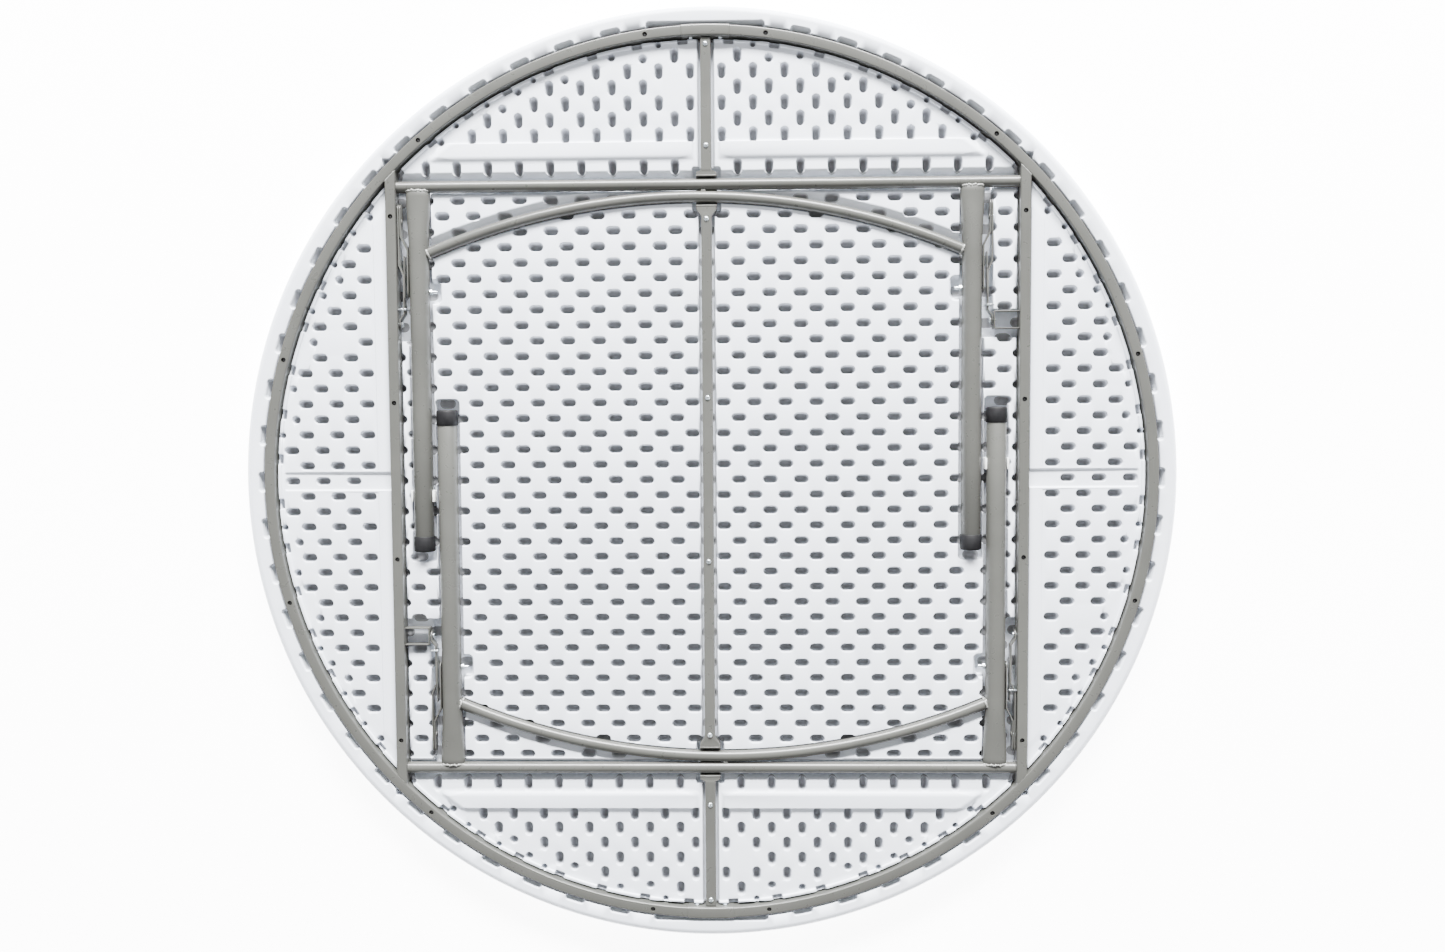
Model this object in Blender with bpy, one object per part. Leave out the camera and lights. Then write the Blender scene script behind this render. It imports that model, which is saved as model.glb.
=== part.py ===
"""A round folding table, lying face down on its top with both leg frames folded flat.

The origin is the middle of the table top's face, +Z points out of the underside, X runs along the
two pivot tubes and Y along the centre beam. Leg frame B is leg frame A turned half a turn about Z.
Run with: blender --background --python part.py
"""

from math import atan2, cos, hypot, pi, radians, sin, sqrt

import bmesh
import bpy
from mathutils import Matrix, Vector

# ---- clearances ----
GAP = 0.0004  # between pieces that rest on each other or are welded together
RUNNING = 0.0004  # radial, round a tube or pin that turns in a hole
BURIED = 0.02  # how far a cutter runs past what it cuts

# ---- moulded top ----
PANEL_RADIUS = 0.900
PANEL_HEIGHT = 0.050
PANEL_EDGE_ROUND = 0.006
LIP_ROUND = 0.014
LAND_DROP = 0.014  # from the rim's top down to the flat land
RIDGE_Z = 0.040
RIDGE_WIDTH = 0.008
ARCH_CLEARANCE = 0.0015  # under the folded arch
FOOT_CLEARANCE = 0.001  # under the folded feet
BRACE_CHANNEL_DEEPER = 0.007
CHANNEL_MARGIN = 0.006
PIVOT_CHANNEL_OUTER = 0.028  # past the pivot axis, away from the legs
PIVOT_CHANNEL_INNER = 0.016
ARCH_CHANNEL_OUTER = 0.030  # from the arch's middle line, towards the pivot tube
ARCH_CHANNEL_INNER = 0.013
BOLT_POCKET_HALF = 0.022
BOLT_POCKET_END = 0.005  # past the end of the leg bolt
GROOVE_MARGIN = 0.0015
SLEEVE_NOTCH_HALF = 0.105
SLEEVE_NOTCH_DEPTH = 0.010
PANEL_SEGMENTS = 72
HOLE_SEGMENTS = 8

# ---- ring, rails and beam ----
RIM_TO_RING = 0.047  # rim's edge to the ring's centre line
TUBE_WIDTH = 0.020
TUBE_HEIGHT = 0.030
TUBE_WALL = 0.0012
TUBE_BOTTOM_Z = 0.021
RING_SEGMENTS = 34
RING_END_GAP = 0.002
SLEEVE_LENGTH = 0.091
SLEEVE_WALL = 0.0015
RAIL_X = 0.606
BEAM_WIDTH = 0.020
BEAM_HEIGHT = 0.024
BEAM_BOTTOM_Z = 0.023
ACCESS_HOLE_RADIUS = 0.0046
RAIL_HOLE_YS = (0.152, 0.509)
RING_HOLE_ANGLES = (7.7, 40.1, 73.9)  # degrees from the Y axis, in each quarter
BEAM_SCREW_RADIUS = 0.0022
BEAM_SCREW_YS = (0.1585, 0.4995, 0.638, 0.828)

# ---- leg frames ----
PIVOT_Y = 0.566
PIVOT_BAR_RADIUS = 0.011
PIVOT_BAR_IN_RAIL = 0.014
BRACE_ROOM = 0.0215  # between a leg and the wall its brace is pinned to
LEGS_PASSING = 0.0105  # between the outer leg of one frame and the inner leg of the other
LEG_RADIUS = 0.019
LEG_LENGTH = 0.704  # pivot axis to the sole of the foot
LEG_START = 0.0075
LEG_TAPER_END = 0.130
LEG_FLARE_HALF = 0.0235
LEG_FLAT_HALF = 0.0132
LEG_WALL = 0.0012
ARCH_RADIUS = 0.011
ARCH_JOIN = 0.135  # pivot axis to the arch's middle line where it meets the legs
ARCH_TO_BAR = 0.001
FOOT_WALL = 0.0015
FOOT_LENGTH = 0.030
FOOT_SOLE = 0.003
ROUND_SEGMENTS = 20
ARCH_SEGMENTS = 12
ARCH_STATIONS = 16

# ---- saddles, brackets and clips ----
SADDLE_HALF_WIDTH = 0.020
SADDLE_SHEET = 0.003
SADDLE_ROOM_ARCH = 0.006  # the slot beside the folded arch is wider than the one beside the pivot tube
SADDLE_ROOM_BAR = 0.003
SADDLE_TOP_Z = 0.0455
SADDLE_POCKET_HALF = 0.028
SADDLE_POCKET_END = 0.018
BRACKET_SHEET = 0.002
BRACKET_LENGTH = 0.0345
BRACKET_BOTTOM_Z = 0.0235
BRACKET_TOP_Z = 0.0465
CLIP_FROM_SOLE = 0.109
CLIP_LENGTH = 0.022
CLIP_PRONG = 0.0042
CLIP_TOP_Z = 0.046

# ---- folding braces: u runs from the leg's side to the wall that the brace is pinned to ----
ANCHOR_DISTANCE = 0.262  # pivot axis to the pin on the rail
LEG_BOLT_DISTANCE = 0.2005  # pivot axis to the bolt in the leg
STRAP = 0.002
STRAP_HALF = 0.010
TAIL = 0.0335
LEG_PLANE_U = 0.0018
MAIN_PLANE_FROM_WALL = 0.0033
KNEE_PLANE_DROP = 0.0037  # from the main plane, towards the leg
SPLICE_PLANE_DROP = 0.0082
LEAF = 0.0012
LEAF_START = 0.050
LEAF_END = 0.130
FORK_START = 0.092
FORK_END = 0.112
ANCHOR_BEND = (0.008, 0.020)
KNEE_BEND_FROM_BOLT = (0.080, 0.1065)
PIN_RADIUS = 0.003
PIN_HEAD_RADIUS = 0.0055
KNEE_HEAD = 0.0014
BOLT_HEAD = 0.0015
ANCHOR_HEAD = 0.0028
NUT_RADIUS = 0.0058
NUT_HEIGHT = 0.0055
BOLT_END = 0.0145  # how far the leg bolt stands out of the leg's inner side
LOCK_WALL = 0.0017
LOCK_LENGTH = 0.003
LOCK_ROOM = 0.0005
LOCK_PARKED = {"a_left": 0.028, "a_right": 0.028, "b_left": 0.028, "b_right": 0.107}

# ---- worked out ----
TUBE_TOP_Z = TUBE_BOTTOM_Z + TUBE_HEIGHT
PIVOT_Z = TUBE_BOTTOM_Z + TUBE_HEIGHT / 2
RING_RADIUS = PANEL_RADIUS - RIM_TO_RING
RAIL_INNER_X = RAIL_X - TUBE_WIDTH / 2
LEG_OUTER_X = RAIL_INNER_X - BRACE_ROOM - LEG_RADIUS
LEG_INNER_X = LEG_OUTER_X - 2 * LEG_RADIUS - LEGS_PASSING
BRACKET_FACE_X = LEG_INNER_X + LEG_RADIUS + BRACE_ROOM
FOOT_RADIUS = LEG_RADIUS + FOOT_WALL
ARCH_APEX = PIVOT_BAR_RADIUS + ARCH_TO_BAR + ARCH_RADIUS  # pivot axis to the arch's middle line
ARCH_HALF_SPAN = (LEG_OUTER_X + LEG_INNER_X) / 2
ARCH_CENTRE_X = (LEG_INNER_X - LEG_OUTER_X) / 2  # in the leg frame's own X
ARCH_RISE = ARCH_JOIN - ARCH_APEX
ARCH_BEND = (ARCH_HALF_SPAN**2 + ARCH_RISE**2) / (2 * ARCH_RISE)
LAND_Z = PANEL_HEIGHT - LAND_DROP
CHANNEL_Z = PIVOT_Z - FOOT_RADIUS - FOOT_CLEARANCE
BRACE_CHANNEL_Z = CHANNEL_Z - BRACE_CHANNEL_DEEPER
MAIN_PLANE_U = BRACE_ROOM - MAIN_PLANE_FROM_WALL
KNEE_PLANE_U = MAIN_PLANE_U - KNEE_PLANE_DROP
SPLICE_PLANE_U = MAIN_PLANE_U - SPLICE_PLANE_DROP
ANCHOR_Y = PIVOT_Y - ANCHOR_DISTANCE
BRACE_REACH = hypot(ANCHOR_DISTANCE, LEG_BOLT_DISTANCE)  # leg upright, brace straight
BRACE_FOLDED = ANCHOR_DISTANCE - LEG_BOLT_DISTANCE
KNEE_S = (BRACE_REACH + BRACE_FOLDED) / 2  # anchor pin to knee rivet
GROOVE_INNER = RING_RADIUS - TUBE_WIDTH / 2 - SLEEVE_WALL - 2 * GAP - GROOVE_MARGIN
GROOVE_OUTER = RING_RADIUS + TUBE_WIDTH / 2 + SLEEVE_WALL + 2 * GAP + GROOVE_MARGIN
LAND_RADIUS = GROOVE_INNER - RIDGE_WIDTH

COLOURS = {
    "panel_plastic": ((0.80, 0.82, 0.86), 0.45, 0.0),
    "grey_paint": ((0.31, 0.31, 0.28), 0.40, 0.0),
    "zinc": ((0.72, 0.75, 0.78), 0.25, 1.0),
    "black_rubber": ((0.02, 0.02, 0.022), 0.55, 0.0),
    "white_clip": ((0.90, 0.91, 0.90), 0.40, 0.0),
}


def clear_scene():
    for old in list(bpy.data.objects):
        bpy.data.objects.remove(old)


def make_materials():
    made = {}
    for name, (colour, roughness, metallic) in COLOURS.items():
        material = bpy.data.materials.new(name)
        material.use_nodes = True
        shader = material.node_tree.nodes["Principled BSDF"]
        shader.inputs["Base Color"].default_value = (*colour, 1.0)
        shader.inputs["Roughness"].default_value = roughness
        shader.inputs["Metallic"].default_value = metallic
        made[name] = material
    return made


# ---- shapes ----


def add_object(name, bm, material, parent=None, place=(0, 0, 0)):
    """A mesh object from bm, its normals facing out, placed in its parent's frame."""
    bmesh.ops.remove_doubles(bm, verts=bm.verts, dist=1e-6)
    bmesh.ops.recalc_face_normals(bm, faces=bm.faces)
    mesh = bpy.data.meshes.new(name)
    bm.to_mesh(mesh)
    bm.free()
    if material:
        mesh.materials.append(material)
    mesh.shade_smooth()
    mesh.set_sharp_from_angle(angle=radians(35))
    made = bpy.data.objects.new(name, mesh)
    bpy.context.scene.collection.objects.link(made)
    made.parent = parent
    made.location = place
    return made


def add_empty(name, place, turned=0.0):
    made = bpy.data.objects.new(name, None)
    made.empty_display_size = 0.05
    bpy.context.scene.collection.objects.link(made)
    made.location = place
    made.rotation_euler = (0, 0, turned)
    return made


def change(target, cutter, operation="DIFFERENCE"):
    """A Boolean modifier on target, and the cutter turned into a hidden helper."""
    cutter.hide_render = True
    cutter.display_type = "WIRE"
    modifier = target.modifiers.new(cutter.name, "BOOLEAN")
    modifier.operation = operation
    modifier.object = cutter


def box(low, high):
    bm = bmesh.new()
    bmesh.ops.create_cube(bm, size=1.0)
    middle = [(a + b) / 2 for a, b in zip(low, high)]
    size = [b - a for a, b in zip(low, high)]
    bmesh.ops.scale(bm, vec=size, verts=bm.verts)
    bmesh.ops.translate(bm, vec=middle, verts=bm.verts)
    return bm


def rod(radius, start, end, segments=ROUND_SEGMENTS):
    """A solid cylinder between two points."""
    start, end = Vector(start), Vector(end)
    bm = bmesh.new()
    along = end - start
    turn = along.to_track_quat("Z", "Y").to_matrix().to_4x4()
    bmesh.ops.create_cone(
        bm,
        cap_ends=True,
        segments=segments,
        radius1=radius,
        radius2=radius,
        depth=along.length,
        matrix=Matrix.Translation((start + end) / 2) @ turn,
    )
    return bm


def prism(outline, direction, low, high):
    """A closed outline of 2-D points, extruded along direction ("x", "y" or "z") from low to high."""
    place = {
        "x": lambda a, b, c: (c, a, b),
        "y": lambda a, b, c: (a, c, b),
        "z": lambda a, b, c: (a, b, c),
    }[direction]
    bm = bmesh.new()
    near = [bm.verts.new(place(a, b, low)) for a, b in outline]
    far = [bm.verts.new(place(a, b, high)) for a, b in outline]
    bm.faces.new(near)
    bm.faces.new(far)
    for i in range(len(outline)):
        j = (i + 1) % len(outline)
        bm.faces.new((near[i], near[j], far[j], far[i]))
    return bm


def turned(profile, segments):
    """A solid of revolution about Z from (radius, z) points that start and end on the axis."""
    bm = bmesh.new()
    loops = []
    for radius, z in profile:
        if radius == 0:
            loops.append([bm.verts.new((0, 0, z))])
            continue
        angles = [2 * pi * k / segments for k in range(segments)]
        loops.append([bm.verts.new((radius * cos(a), radius * sin(a), z)) for a in angles])
    for first, second in zip(loops, loops[1:]):
        for k in range(segments):
            nxt = (k + 1) % segments
            corners = [first[k % len(first)], first[nxt % len(first)]]
            corners += [second[nxt % len(second)], second[k % len(second)]]
            bm.faces.new(list(dict.fromkeys(corners)))
    return bm


def hollow_loft(outer_loops, inner_loops):
    """A pipe: outer and inner loops of points, one pair for each station, open at both ends."""
    bm = bmesh.new()
    outer = [[bm.verts.new(p) for p in loop] for loop in outer_loops]
    inner = [[bm.verts.new(p) for p in loop] for loop in inner_loops]
    count = len(outer[0])
    for skin in (outer, inner):
        for a, b in zip(skin, skin[1:]):
            for k in range(count):
                n = (k + 1) % count
                bm.faces.new((a[k], a[n], b[n], b[k]))
    for end in (0, -1):
        for k in range(count):
            n = (k + 1) % count
            bm.faces.new((outer[end][k], outer[end][n], inner[end][n], inner[end][k]))
    return bm


def rectangle(width, height):
    return [
        (-width / 2, -height / 2),
        (width / 2, -height / 2),
        (width / 2, height / 2),
        (-width / 2, height / 2),
    ]


def straight_tube(width, height, wall, axis, low, high, middle):
    """A rectangular tube along "x" or "y"; middle is the place of its centre line across the axis."""
    loops = []
    for w, h in ((width, height), (width - 2 * wall, height - 2 * wall)):
        stations = []
        for t in (low, high):
            across = [(middle[0] + a, middle[1] + b) for a, b in rectangle(w, h)]
            if axis == "y":
                stations.append([(a, t, b) for a, b in across])
            else:
                stations.append([(t, a, b) for a, b in across])
        loops.append(stations)
    return hollow_loft(*loops)


def curved_tube(width, height, wall, radius, angles, z):
    """A rectangular tube bent about the Z axis, with a station at each angle, its centre line at z."""
    loops = []
    for w, h in ((width, height), (width - 2 * wall, height - 2 * wall)):
        made = []
        for a in angles:
            across = rectangle(w, h)
            made.append([((radius + p) * cos(a), (radius + p) * sin(a), z + q) for p, q in across])
        loops.append(made)
    return hollow_loft(*loops)


def rounded_strap(start, end, half):
    """The side outline of a strap with round ends: points along it and across it."""
    steps = 8
    points = []
    for centre, first in ((end - half, -pi / 2), (start + half, pi / 2)):
        for k in range(steps + 1):
            a = first + pi * k / steps
            points.append((centre + half * cos(a), half * sin(a)))
    return points


# ---- the moulded top ----


def corner_arc(centre_r, centre_z, radius, start, end, steps=4):
    angles = [radians(start + (end - start) * k / steps) for k in range(steps + 1)]
    return [(centre_r + radius * cos(a), centre_z + radius * sin(a)) for a in angles]


def panel_profile():
    edge = PANEL_RADIUS - PANEL_EDGE_ROUND
    lip = PANEL_RADIUS - LIP_ROUND
    groove_z = TUBE_BOTTOM_Z - GAP
    profile = [(0, 0)]
    profile += corner_arc(edge, PANEL_EDGE_ROUND, PANEL_EDGE_ROUND, -90, 0)
    profile += corner_arc(lip, PANEL_HEIGHT - LIP_ROUND, LIP_ROUND, 0, 90)
    profile += [(GROOVE_OUTER, PANEL_HEIGHT), (GROOVE_OUTER, groove_z)]
    profile += [(GROOVE_INNER, groove_z), (GROOVE_INNER, RIDGE_Z)]
    profile += [(LAND_RADIUS, RIDGE_Z), (LAND_RADIUS, LAND_Z), (0, LAND_Z)]
    return profile


def arch_line(reach, stations):
    """(place, outward direction) of stations along the arch's middle line, in the leg frame's own X and Y."""
    widest = atan2(reach, ARCH_BEND - ARCH_RISE)
    line = []
    for k in range(stations + 1):
        a = widest * (2 * k / stations - 1)
        place = (ARCH_CENTRE_X + ARCH_BEND * sin(a), -ARCH_APEX - ARCH_BEND + ARCH_BEND * cos(a))
        line.append((place, (sin(a), cos(a))))
    return line


def arch_channel(sign):
    """The curved channel that a folded arch lies in, seen along Z."""
    line = arch_line(ARCH_HALF_SPAN, ARCH_STATIONS)
    outer = [(x + ox * ARCH_CHANNEL_OUTER, y + oy * ARCH_CHANNEL_OUTER) for (x, y), (ox, oy) in line]
    inner = [(x - ox * ARCH_CHANNEL_INNER, y - oy * ARCH_CHANNEL_INNER) for (x, y), (ox, oy) in line]
    return [(sign * x, sign * (PIVOT_Y + y)) for x, y in outer + inner[::-1]]


def leg_channels():
    """(name, low corner, high corner) of the channel each folded leg and its brace lie in."""
    top = PANEL_HEIGHT + BURIED
    reach = PIVOT_Y - LEG_LENGTH - CHANNEL_MARGIN
    room = LEG_RADIUS + CHANNEL_MARGIN
    brace_y = ANCHOR_Y - BRACKET_LENGTH
    outer_side = -LEG_OUTER_X - LEG_RADIUS + STRAP
    inner_side = LEG_INNER_X + LEG_RADIUS - STRAP
    brace_end = BRACKET_FACE_X + STRAP
    bracket_y = ANCHOR_Y + BRACKET_LENGTH
    bolt_low = PIVOT_Y - LEG_BOLT_DISTANCE - BOLT_POCKET_HALF
    bolt_high = PIVOT_Y - LEG_BOLT_DISTANCE + BOLT_POCKET_HALF
    bolt_reach = LEG_RADIUS + BOLT_END + BOLT_POCKET_END
    spans = {
        "outer_leg": (-LEG_OUTER_X - room, -LEG_OUTER_X + room, reach, PIVOT_Y, CHANNEL_Z),
        "inner_leg": (LEG_INNER_X - room, LEG_INNER_X + room, reach, PIVOT_Y, CHANNEL_Z),
        "outer_brace": (-RAIL_INNER_X, outer_side, brace_y, PIVOT_Y, BRACE_CHANNEL_Z),
        "inner_brace": (inner_side, brace_end, brace_y, PIVOT_Y, BRACE_CHANNEL_Z),
        "bracket": (inner_side, RAIL_INNER_X, brace_y, bracket_y, CHANNEL_Z),
        "outer_bolt": (-LEG_OUTER_X, -LEG_OUTER_X + bolt_reach, bolt_low, bolt_high, CHANNEL_Z),
        "inner_bolt": (LEG_INNER_X - bolt_reach, LEG_INNER_X, bolt_low, bolt_high, CHANNEL_Z),
    }
    cuts = []
    for end, sign in (("a", 1), ("b", -1)):
        for name, (x0, x1, y0, y1, z) in spans.items():
            x = sorted((sign * x0, sign * x1))
            y = sorted((sign * y0, sign * y1))
            cuts.append((f"{name}_{end}", (x[0], y[0], z), (x[1], y[1], top)))
    return cuts


def panel_cuts():
    """(name, low corner, high corner) of each groove, channel and pocket in the top's underside."""
    top = PANEL_HEIGHT + BURIED
    groove_half = TUBE_WIDTH / 2 + GROOVE_MARGIN
    rail_end = sqrt(GROOVE_OUTER**2 - (RAIL_X + groove_half) ** 2)
    rail_z = TUBE_BOTTOM_Z - GAP
    saddle_low, saddle_high = saddle_span()
    cuts = leg_channels()
    for side, sign in (("right", 1), ("left", -1)):
        x = sorted((sign * (RAIL_X - groove_half), sign * (RAIL_X + groove_half)))
        cuts.append((f"rail_groove_{side}", (x[0], -rail_end, rail_z), (x[1], rail_end, top)))
    beam_half = BEAM_WIDTH / 2 + GROOVE_MARGIN
    beam_z = BEAM_BOTTOM_Z - GAP
    beam_end = GROOVE_INNER + GROOVE_MARGIN
    cuts.append(("beam_groove", (-beam_half, -beam_end, beam_z), (beam_half, beam_end, top)))
    for end, sign in (("a", 1), ("b", -1)):
        y = sorted((sign * (PIVOT_Y - PIVOT_CHANNEL_INNER), sign * (PIVOT_Y + PIVOT_CHANNEL_OUTER)))
        x = RAIL_INNER_X - GROOVE_MARGIN
        cuts.append((f"pivot_channel_{end}", (-x, y[0], CHANNEL_Z), (x, y[1], top)))
        y = sorted((sign * (saddle_low - SADDLE_POCKET_END), sign * (saddle_high + SADDLE_POCKET_END)))
        half = SADDLE_POCKET_HALF
        cuts.append((f"saddle_pocket_{end}", (-half, y[0], CHANNEL_Z), (half, y[1], top)))
        y = sorted((sign * (GROOVE_INNER - GROOVE_MARGIN), sign * (GROOVE_OUTER + SLEEVE_NOTCH_DEPTH)))
        low = (-SLEEVE_NOTCH_HALF, y[0], TUBE_BOTTOM_Z - SLEEVE_WALL - 2 * GAP)
        cuts.append((f"sleeve_notch_{end}", low, (SLEEVE_NOTCH_HALF, y[1], top)))
    return cuts


def make_panel(paint):
    panel = add_object("tabletop_panel", turned(panel_profile(), PANEL_SEGMENTS), paint["panel_plastic"])
    for name, low, high in panel_cuts():
        change(panel, add_object(f"cut_{name}", box(low, high), None))
    floor = PIVOT_Z - ARCH_RADIUS - ARCH_CLEARANCE
    for end, sign in (("a", 1), ("b", -1)):
        shape = prism(arch_channel(sign), "z", floor, PANEL_HEIGHT + BURIED)
        change(panel, add_object(f"cut_arch_channel_{end}", shape, None))
    return panel


# ---- ring, rails and beam ----


def ring_hole_angles():
    """Angles from +X of the access holes in the ring's right half; the left half repeats them."""
    return [s * radians(90 - a) for a in RING_HOLE_ANGLES for s in (1, -1)]


def make_ring(paint):
    """Two bent half rings, and the sleeves that their ends meet in."""
    end_gap = RING_END_GAP / 2 / RING_RADIUS
    sleeve_half = SLEEVE_LENGTH / 2 / RING_RADIUS
    for side, first in (("right", -pi / 2), ("left", pi / 2)):
        step = (pi - 2 * sleeve_half) / RING_SEGMENTS
        angles = [first + end_gap]
        angles += [first + sleeve_half + step * k for k in range(RING_SEGMENTS + 1)]
        angles += [first + pi - end_gap]
        tube = curved_tube(TUBE_WIDTH, TUBE_HEIGHT, TUBE_WALL, RING_RADIUS, angles, PIVOT_Z)
        half_ring = add_object(f"ring_half_{side}", tube, paint["grey_paint"])
        for number, angle in enumerate(ring_hole_angles()):
            x = RING_RADIUS * cos(angle + first + pi / 2)
            y = RING_RADIUS * sin(angle + first + pi / 2)
            drill = rod(ACCESS_HOLE_RADIUS, (x, y, PIVOT_Z), (x, y, TUBE_TOP_Z + BURIED), HOLE_SEGMENTS)
            change(half_ring, add_object(f"cut_ring_{side}_{number}", drill, None))
    grow = 2 * (SLEEVE_WALL + GAP)
    for end, middle in (("a", pi / 2), ("b", -pi / 2)):
        angles = (middle - sleeve_half, middle, middle + sleeve_half)
        sleeve = curved_tube(
            TUBE_WIDTH + grow, TUBE_HEIGHT + grow, SLEEVE_WALL, RING_RADIUS, angles, PIVOT_Z
        )
        add_object(f"ring_sleeve_{end}", sleeve, paint["grey_paint"])


def make_rails(paint):
    flat_of_ring = cos(pi / 2 / RING_SEGMENTS)  # a bent tube made of flats lies inside its radius
    ring_inner = (RING_RADIUS - TUBE_WIDTH / 2) * flat_of_ring - GAP
    for side, sign in (("right", 1), ("left", -1)):
        half = sqrt(ring_inner**2 - (RAIL_X - TUBE_WIDTH / 2) ** 2)
        tube = straight_tube(
            TUBE_WIDTH, TUBE_HEIGHT, TUBE_WALL, "y", -half, half, (sign * RAIL_X, PIVOT_Z)
        )
        rail = add_object(f"side_rail_{side}", tube, paint["grey_paint"])
        cope = rod(ring_inner, (0, 0, 0), (0, 0, PANEL_HEIGHT + BURIED), PANEL_SEGMENTS)
        change(rail, add_object(f"cut_cope_{side}", cope, None), "INTERSECT")
        for end, y in (("a", PIVOT_Y), ("b", -PIVOT_Y)):
            inner = sign * (RAIL_INNER_X - BURIED)
            bore = rod(PIVOT_BAR_RADIUS + 2 * RUNNING, (inner, y, PIVOT_Z), (sign * RAIL_X, y, PIVOT_Z))
            change(rail, add_object(f"cut_bore_{side}_{end}", bore, None))
        for number, y in enumerate(s * y for y in RAIL_HOLE_YS for s in (1, -1)):
            x = sign * RAIL_X
            drill = rod(ACCESS_HOLE_RADIUS, (x, y, PIVOT_Z), (x, y, TUBE_TOP_Z + BURIED), HOLE_SEGMENTS)
            change(rail, add_object(f"cut_rail_{side}_{number}", drill, None))
        # The brace of the leg that folds beside this rail is pinned straight to it.
        y = -ANCHOR_Y * sign
        inner = sign * (RAIL_INNER_X - BURIED)
        pin_hole = rod(PIN_RADIUS + RUNNING, (inner, y, PIVOT_Z), (sign * RAIL_X, y, PIVOT_Z), 12)
        change(rail, add_object(f"cut_pin_{side}", pin_hole, None))


def saddle_span():
    """Near and far Y of a saddle's outside: it holds the folded arch and the pivot tube."""
    near = PIVOT_Y - ARCH_APEX - ARCH_RADIUS - SADDLE_ROOM_ARCH - SADDLE_SHEET
    far = PIVOT_Y + PIVOT_BAR_RADIUS + SADDLE_ROOM_BAR + SADDLE_SHEET
    return near, far


def make_beams(paint):
    near, far = saddle_span()
    sleeve_face = RING_RADIUS - TUBE_WIDTH / 2 - SLEEVE_WALL - 2 * GAP
    z = BEAM_BOTTOM_Z + BEAM_HEIGHT / 2
    spans = {
        "centre_beam_a": (far + GAP, sleeve_face - 3 * GAP),
        "centre_beam_middle": (-near + GAP, near - GAP),
        "centre_beam_b": (-sleeve_face + 3 * GAP, -far - GAP),
    }
    screws = [s * y for y in BEAM_SCREW_YS for s in (1, -1)]
    for name, (low, high) in spans.items():
        beam = add_object(
            name,
            straight_tube(BEAM_WIDTH, BEAM_HEIGHT, TUBE_WALL, "y", low, high, (0, z)),
            paint["grey_paint"],
        )
        for number, y in enumerate(y for y in screws if low < y < high):
            drill = rod(BEAM_SCREW_RADIUS, (0, y, 0), (0, y, PANEL_HEIGHT + BURIED), HOLE_SEGMENTS)
            change(beam, add_object(f"cut_{name}_{number}", drill, None))


def make_saddles(paint):
    near, far = saddle_span()
    floor = PIVOT_Z - PIVOT_BAR_RADIUS - GAP
    t = SADDLE_SHEET
    for end, sign in (("a", 1), ("b", -1)):
        outline = [
            (near, floor - t),
            (far, floor - t),
            (far, SADDLE_TOP_Z),
            (far - t, SADDLE_TOP_Z),
            (far - t, floor),
            (near + t, floor),
            (near + t, SADDLE_TOP_Z),
            (near, SADDLE_TOP_Z),
        ]
        outline = [(sign * y, z) for y, z in outline]
        shape = prism(outline, "x", -SADDLE_HALF_WIDTH, SADDLE_HALF_WIDTH)
        add_object(f"pivot_saddle_{end}", shape, paint["grey_paint"])


def make_brackets(paint):
    """The U of flat steel that brings the brace's pin in from the rail to the leg that folds further in."""
    t = BRACKET_SHEET
    for end, sign in (("a", 1), ("b", -1)):
        y0, y1 = ANCHOR_Y - BRACKET_LENGTH / 2, ANCHOR_Y + BRACKET_LENGTH / 2
        rail_face = RAIL_INNER_X - GAP
        outline = [
            (rail_face, y0),
            (rail_face, y0 + t),
            (BRACKET_FACE_X + t, y0 + t),
            (BRACKET_FACE_X + t, y1 - t),
            (rail_face, y1 - t),
            (rail_face, y1),
            (BRACKET_FACE_X, y1),
            (BRACKET_FACE_X, y0),
        ]
        outline = [(sign * x, sign * y) for x, y in outline]
        shape = prism(outline, "z", BRACKET_BOTTOM_Z, BRACKET_TOP_Z)
        bracket = add_object(f"brace_bracket_{end}", shape, paint["grey_paint"])
        inner = (sign * (BRACKET_FACE_X - BURIED), sign * ANCHOR_Y, PIVOT_Z)
        outer = (sign * (BRACKET_FACE_X + BURIED), sign * ANCHOR_Y, PIVOT_Z)
        drill = rod(PIN_RADIUS + RUNNING, inner, outer, 12)
        change(bracket, add_object(f"cut_bracket_{end}", drill, None))


def make_clips(paint):
    """White clips that the outer leg of each folded frame drops between."""
    room = LEG_RADIUS + GAP
    base = CHANNEL_Z + GAP
    leg_bottom = PIVOT_Z - LEG_RADIUS - GAP
    outer = room + CLIP_PRONG
    for end, sign in (("a", -1), ("b", 1)):
        outline = [
            (-outer, base),
            (outer, base),
            (outer, CLIP_TOP_Z - CLIP_PRONG / 2),
            (outer - CLIP_PRONG / 2, CLIP_TOP_Z),
            (room, CLIP_TOP_Z),
            (room, leg_bottom + room / 2),
            (room / 2, leg_bottom),
            (-room / 2, leg_bottom),
            (-room, leg_bottom + room / 2),
            (-room, CLIP_TOP_Z),
            (-outer + CLIP_PRONG / 2, CLIP_TOP_Z),
            (-outer, CLIP_TOP_Z - CLIP_PRONG / 2),
        ]
        outline = [(sign * LEG_OUTER_X + x, z) for x, z in outline]
        y = -sign * (PIVOT_Y - LEG_LENGTH + CLIP_FROM_SOLE)
        shape = prism(outline, "y", y - CLIP_LENGTH / 2, y + CLIP_LENGTH / 2)
        add_object(f"leg_clip_{end}", shape, paint["white_clip"])


# ---- leg frames, in a frame of their own: the pivot axis is local X, and the legs run to -Y ----


def leg_section(distance, inset):
    """Half width and half height of a leg's section at a distance from the pivot axis."""
    share = min(1.0, max(0.0, (distance - LEG_START) / (LEG_TAPER_END - LEG_START)))
    blend = share * share * (3 - 2 * share)
    half_width = LEG_FLARE_HALF + (LEG_RADIUS - LEG_FLARE_HALF) * blend
    half_height = LEG_FLAT_HALF + (LEG_RADIUS - LEG_FLAT_HALF) * blend
    return half_width - inset, half_height - inset


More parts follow.
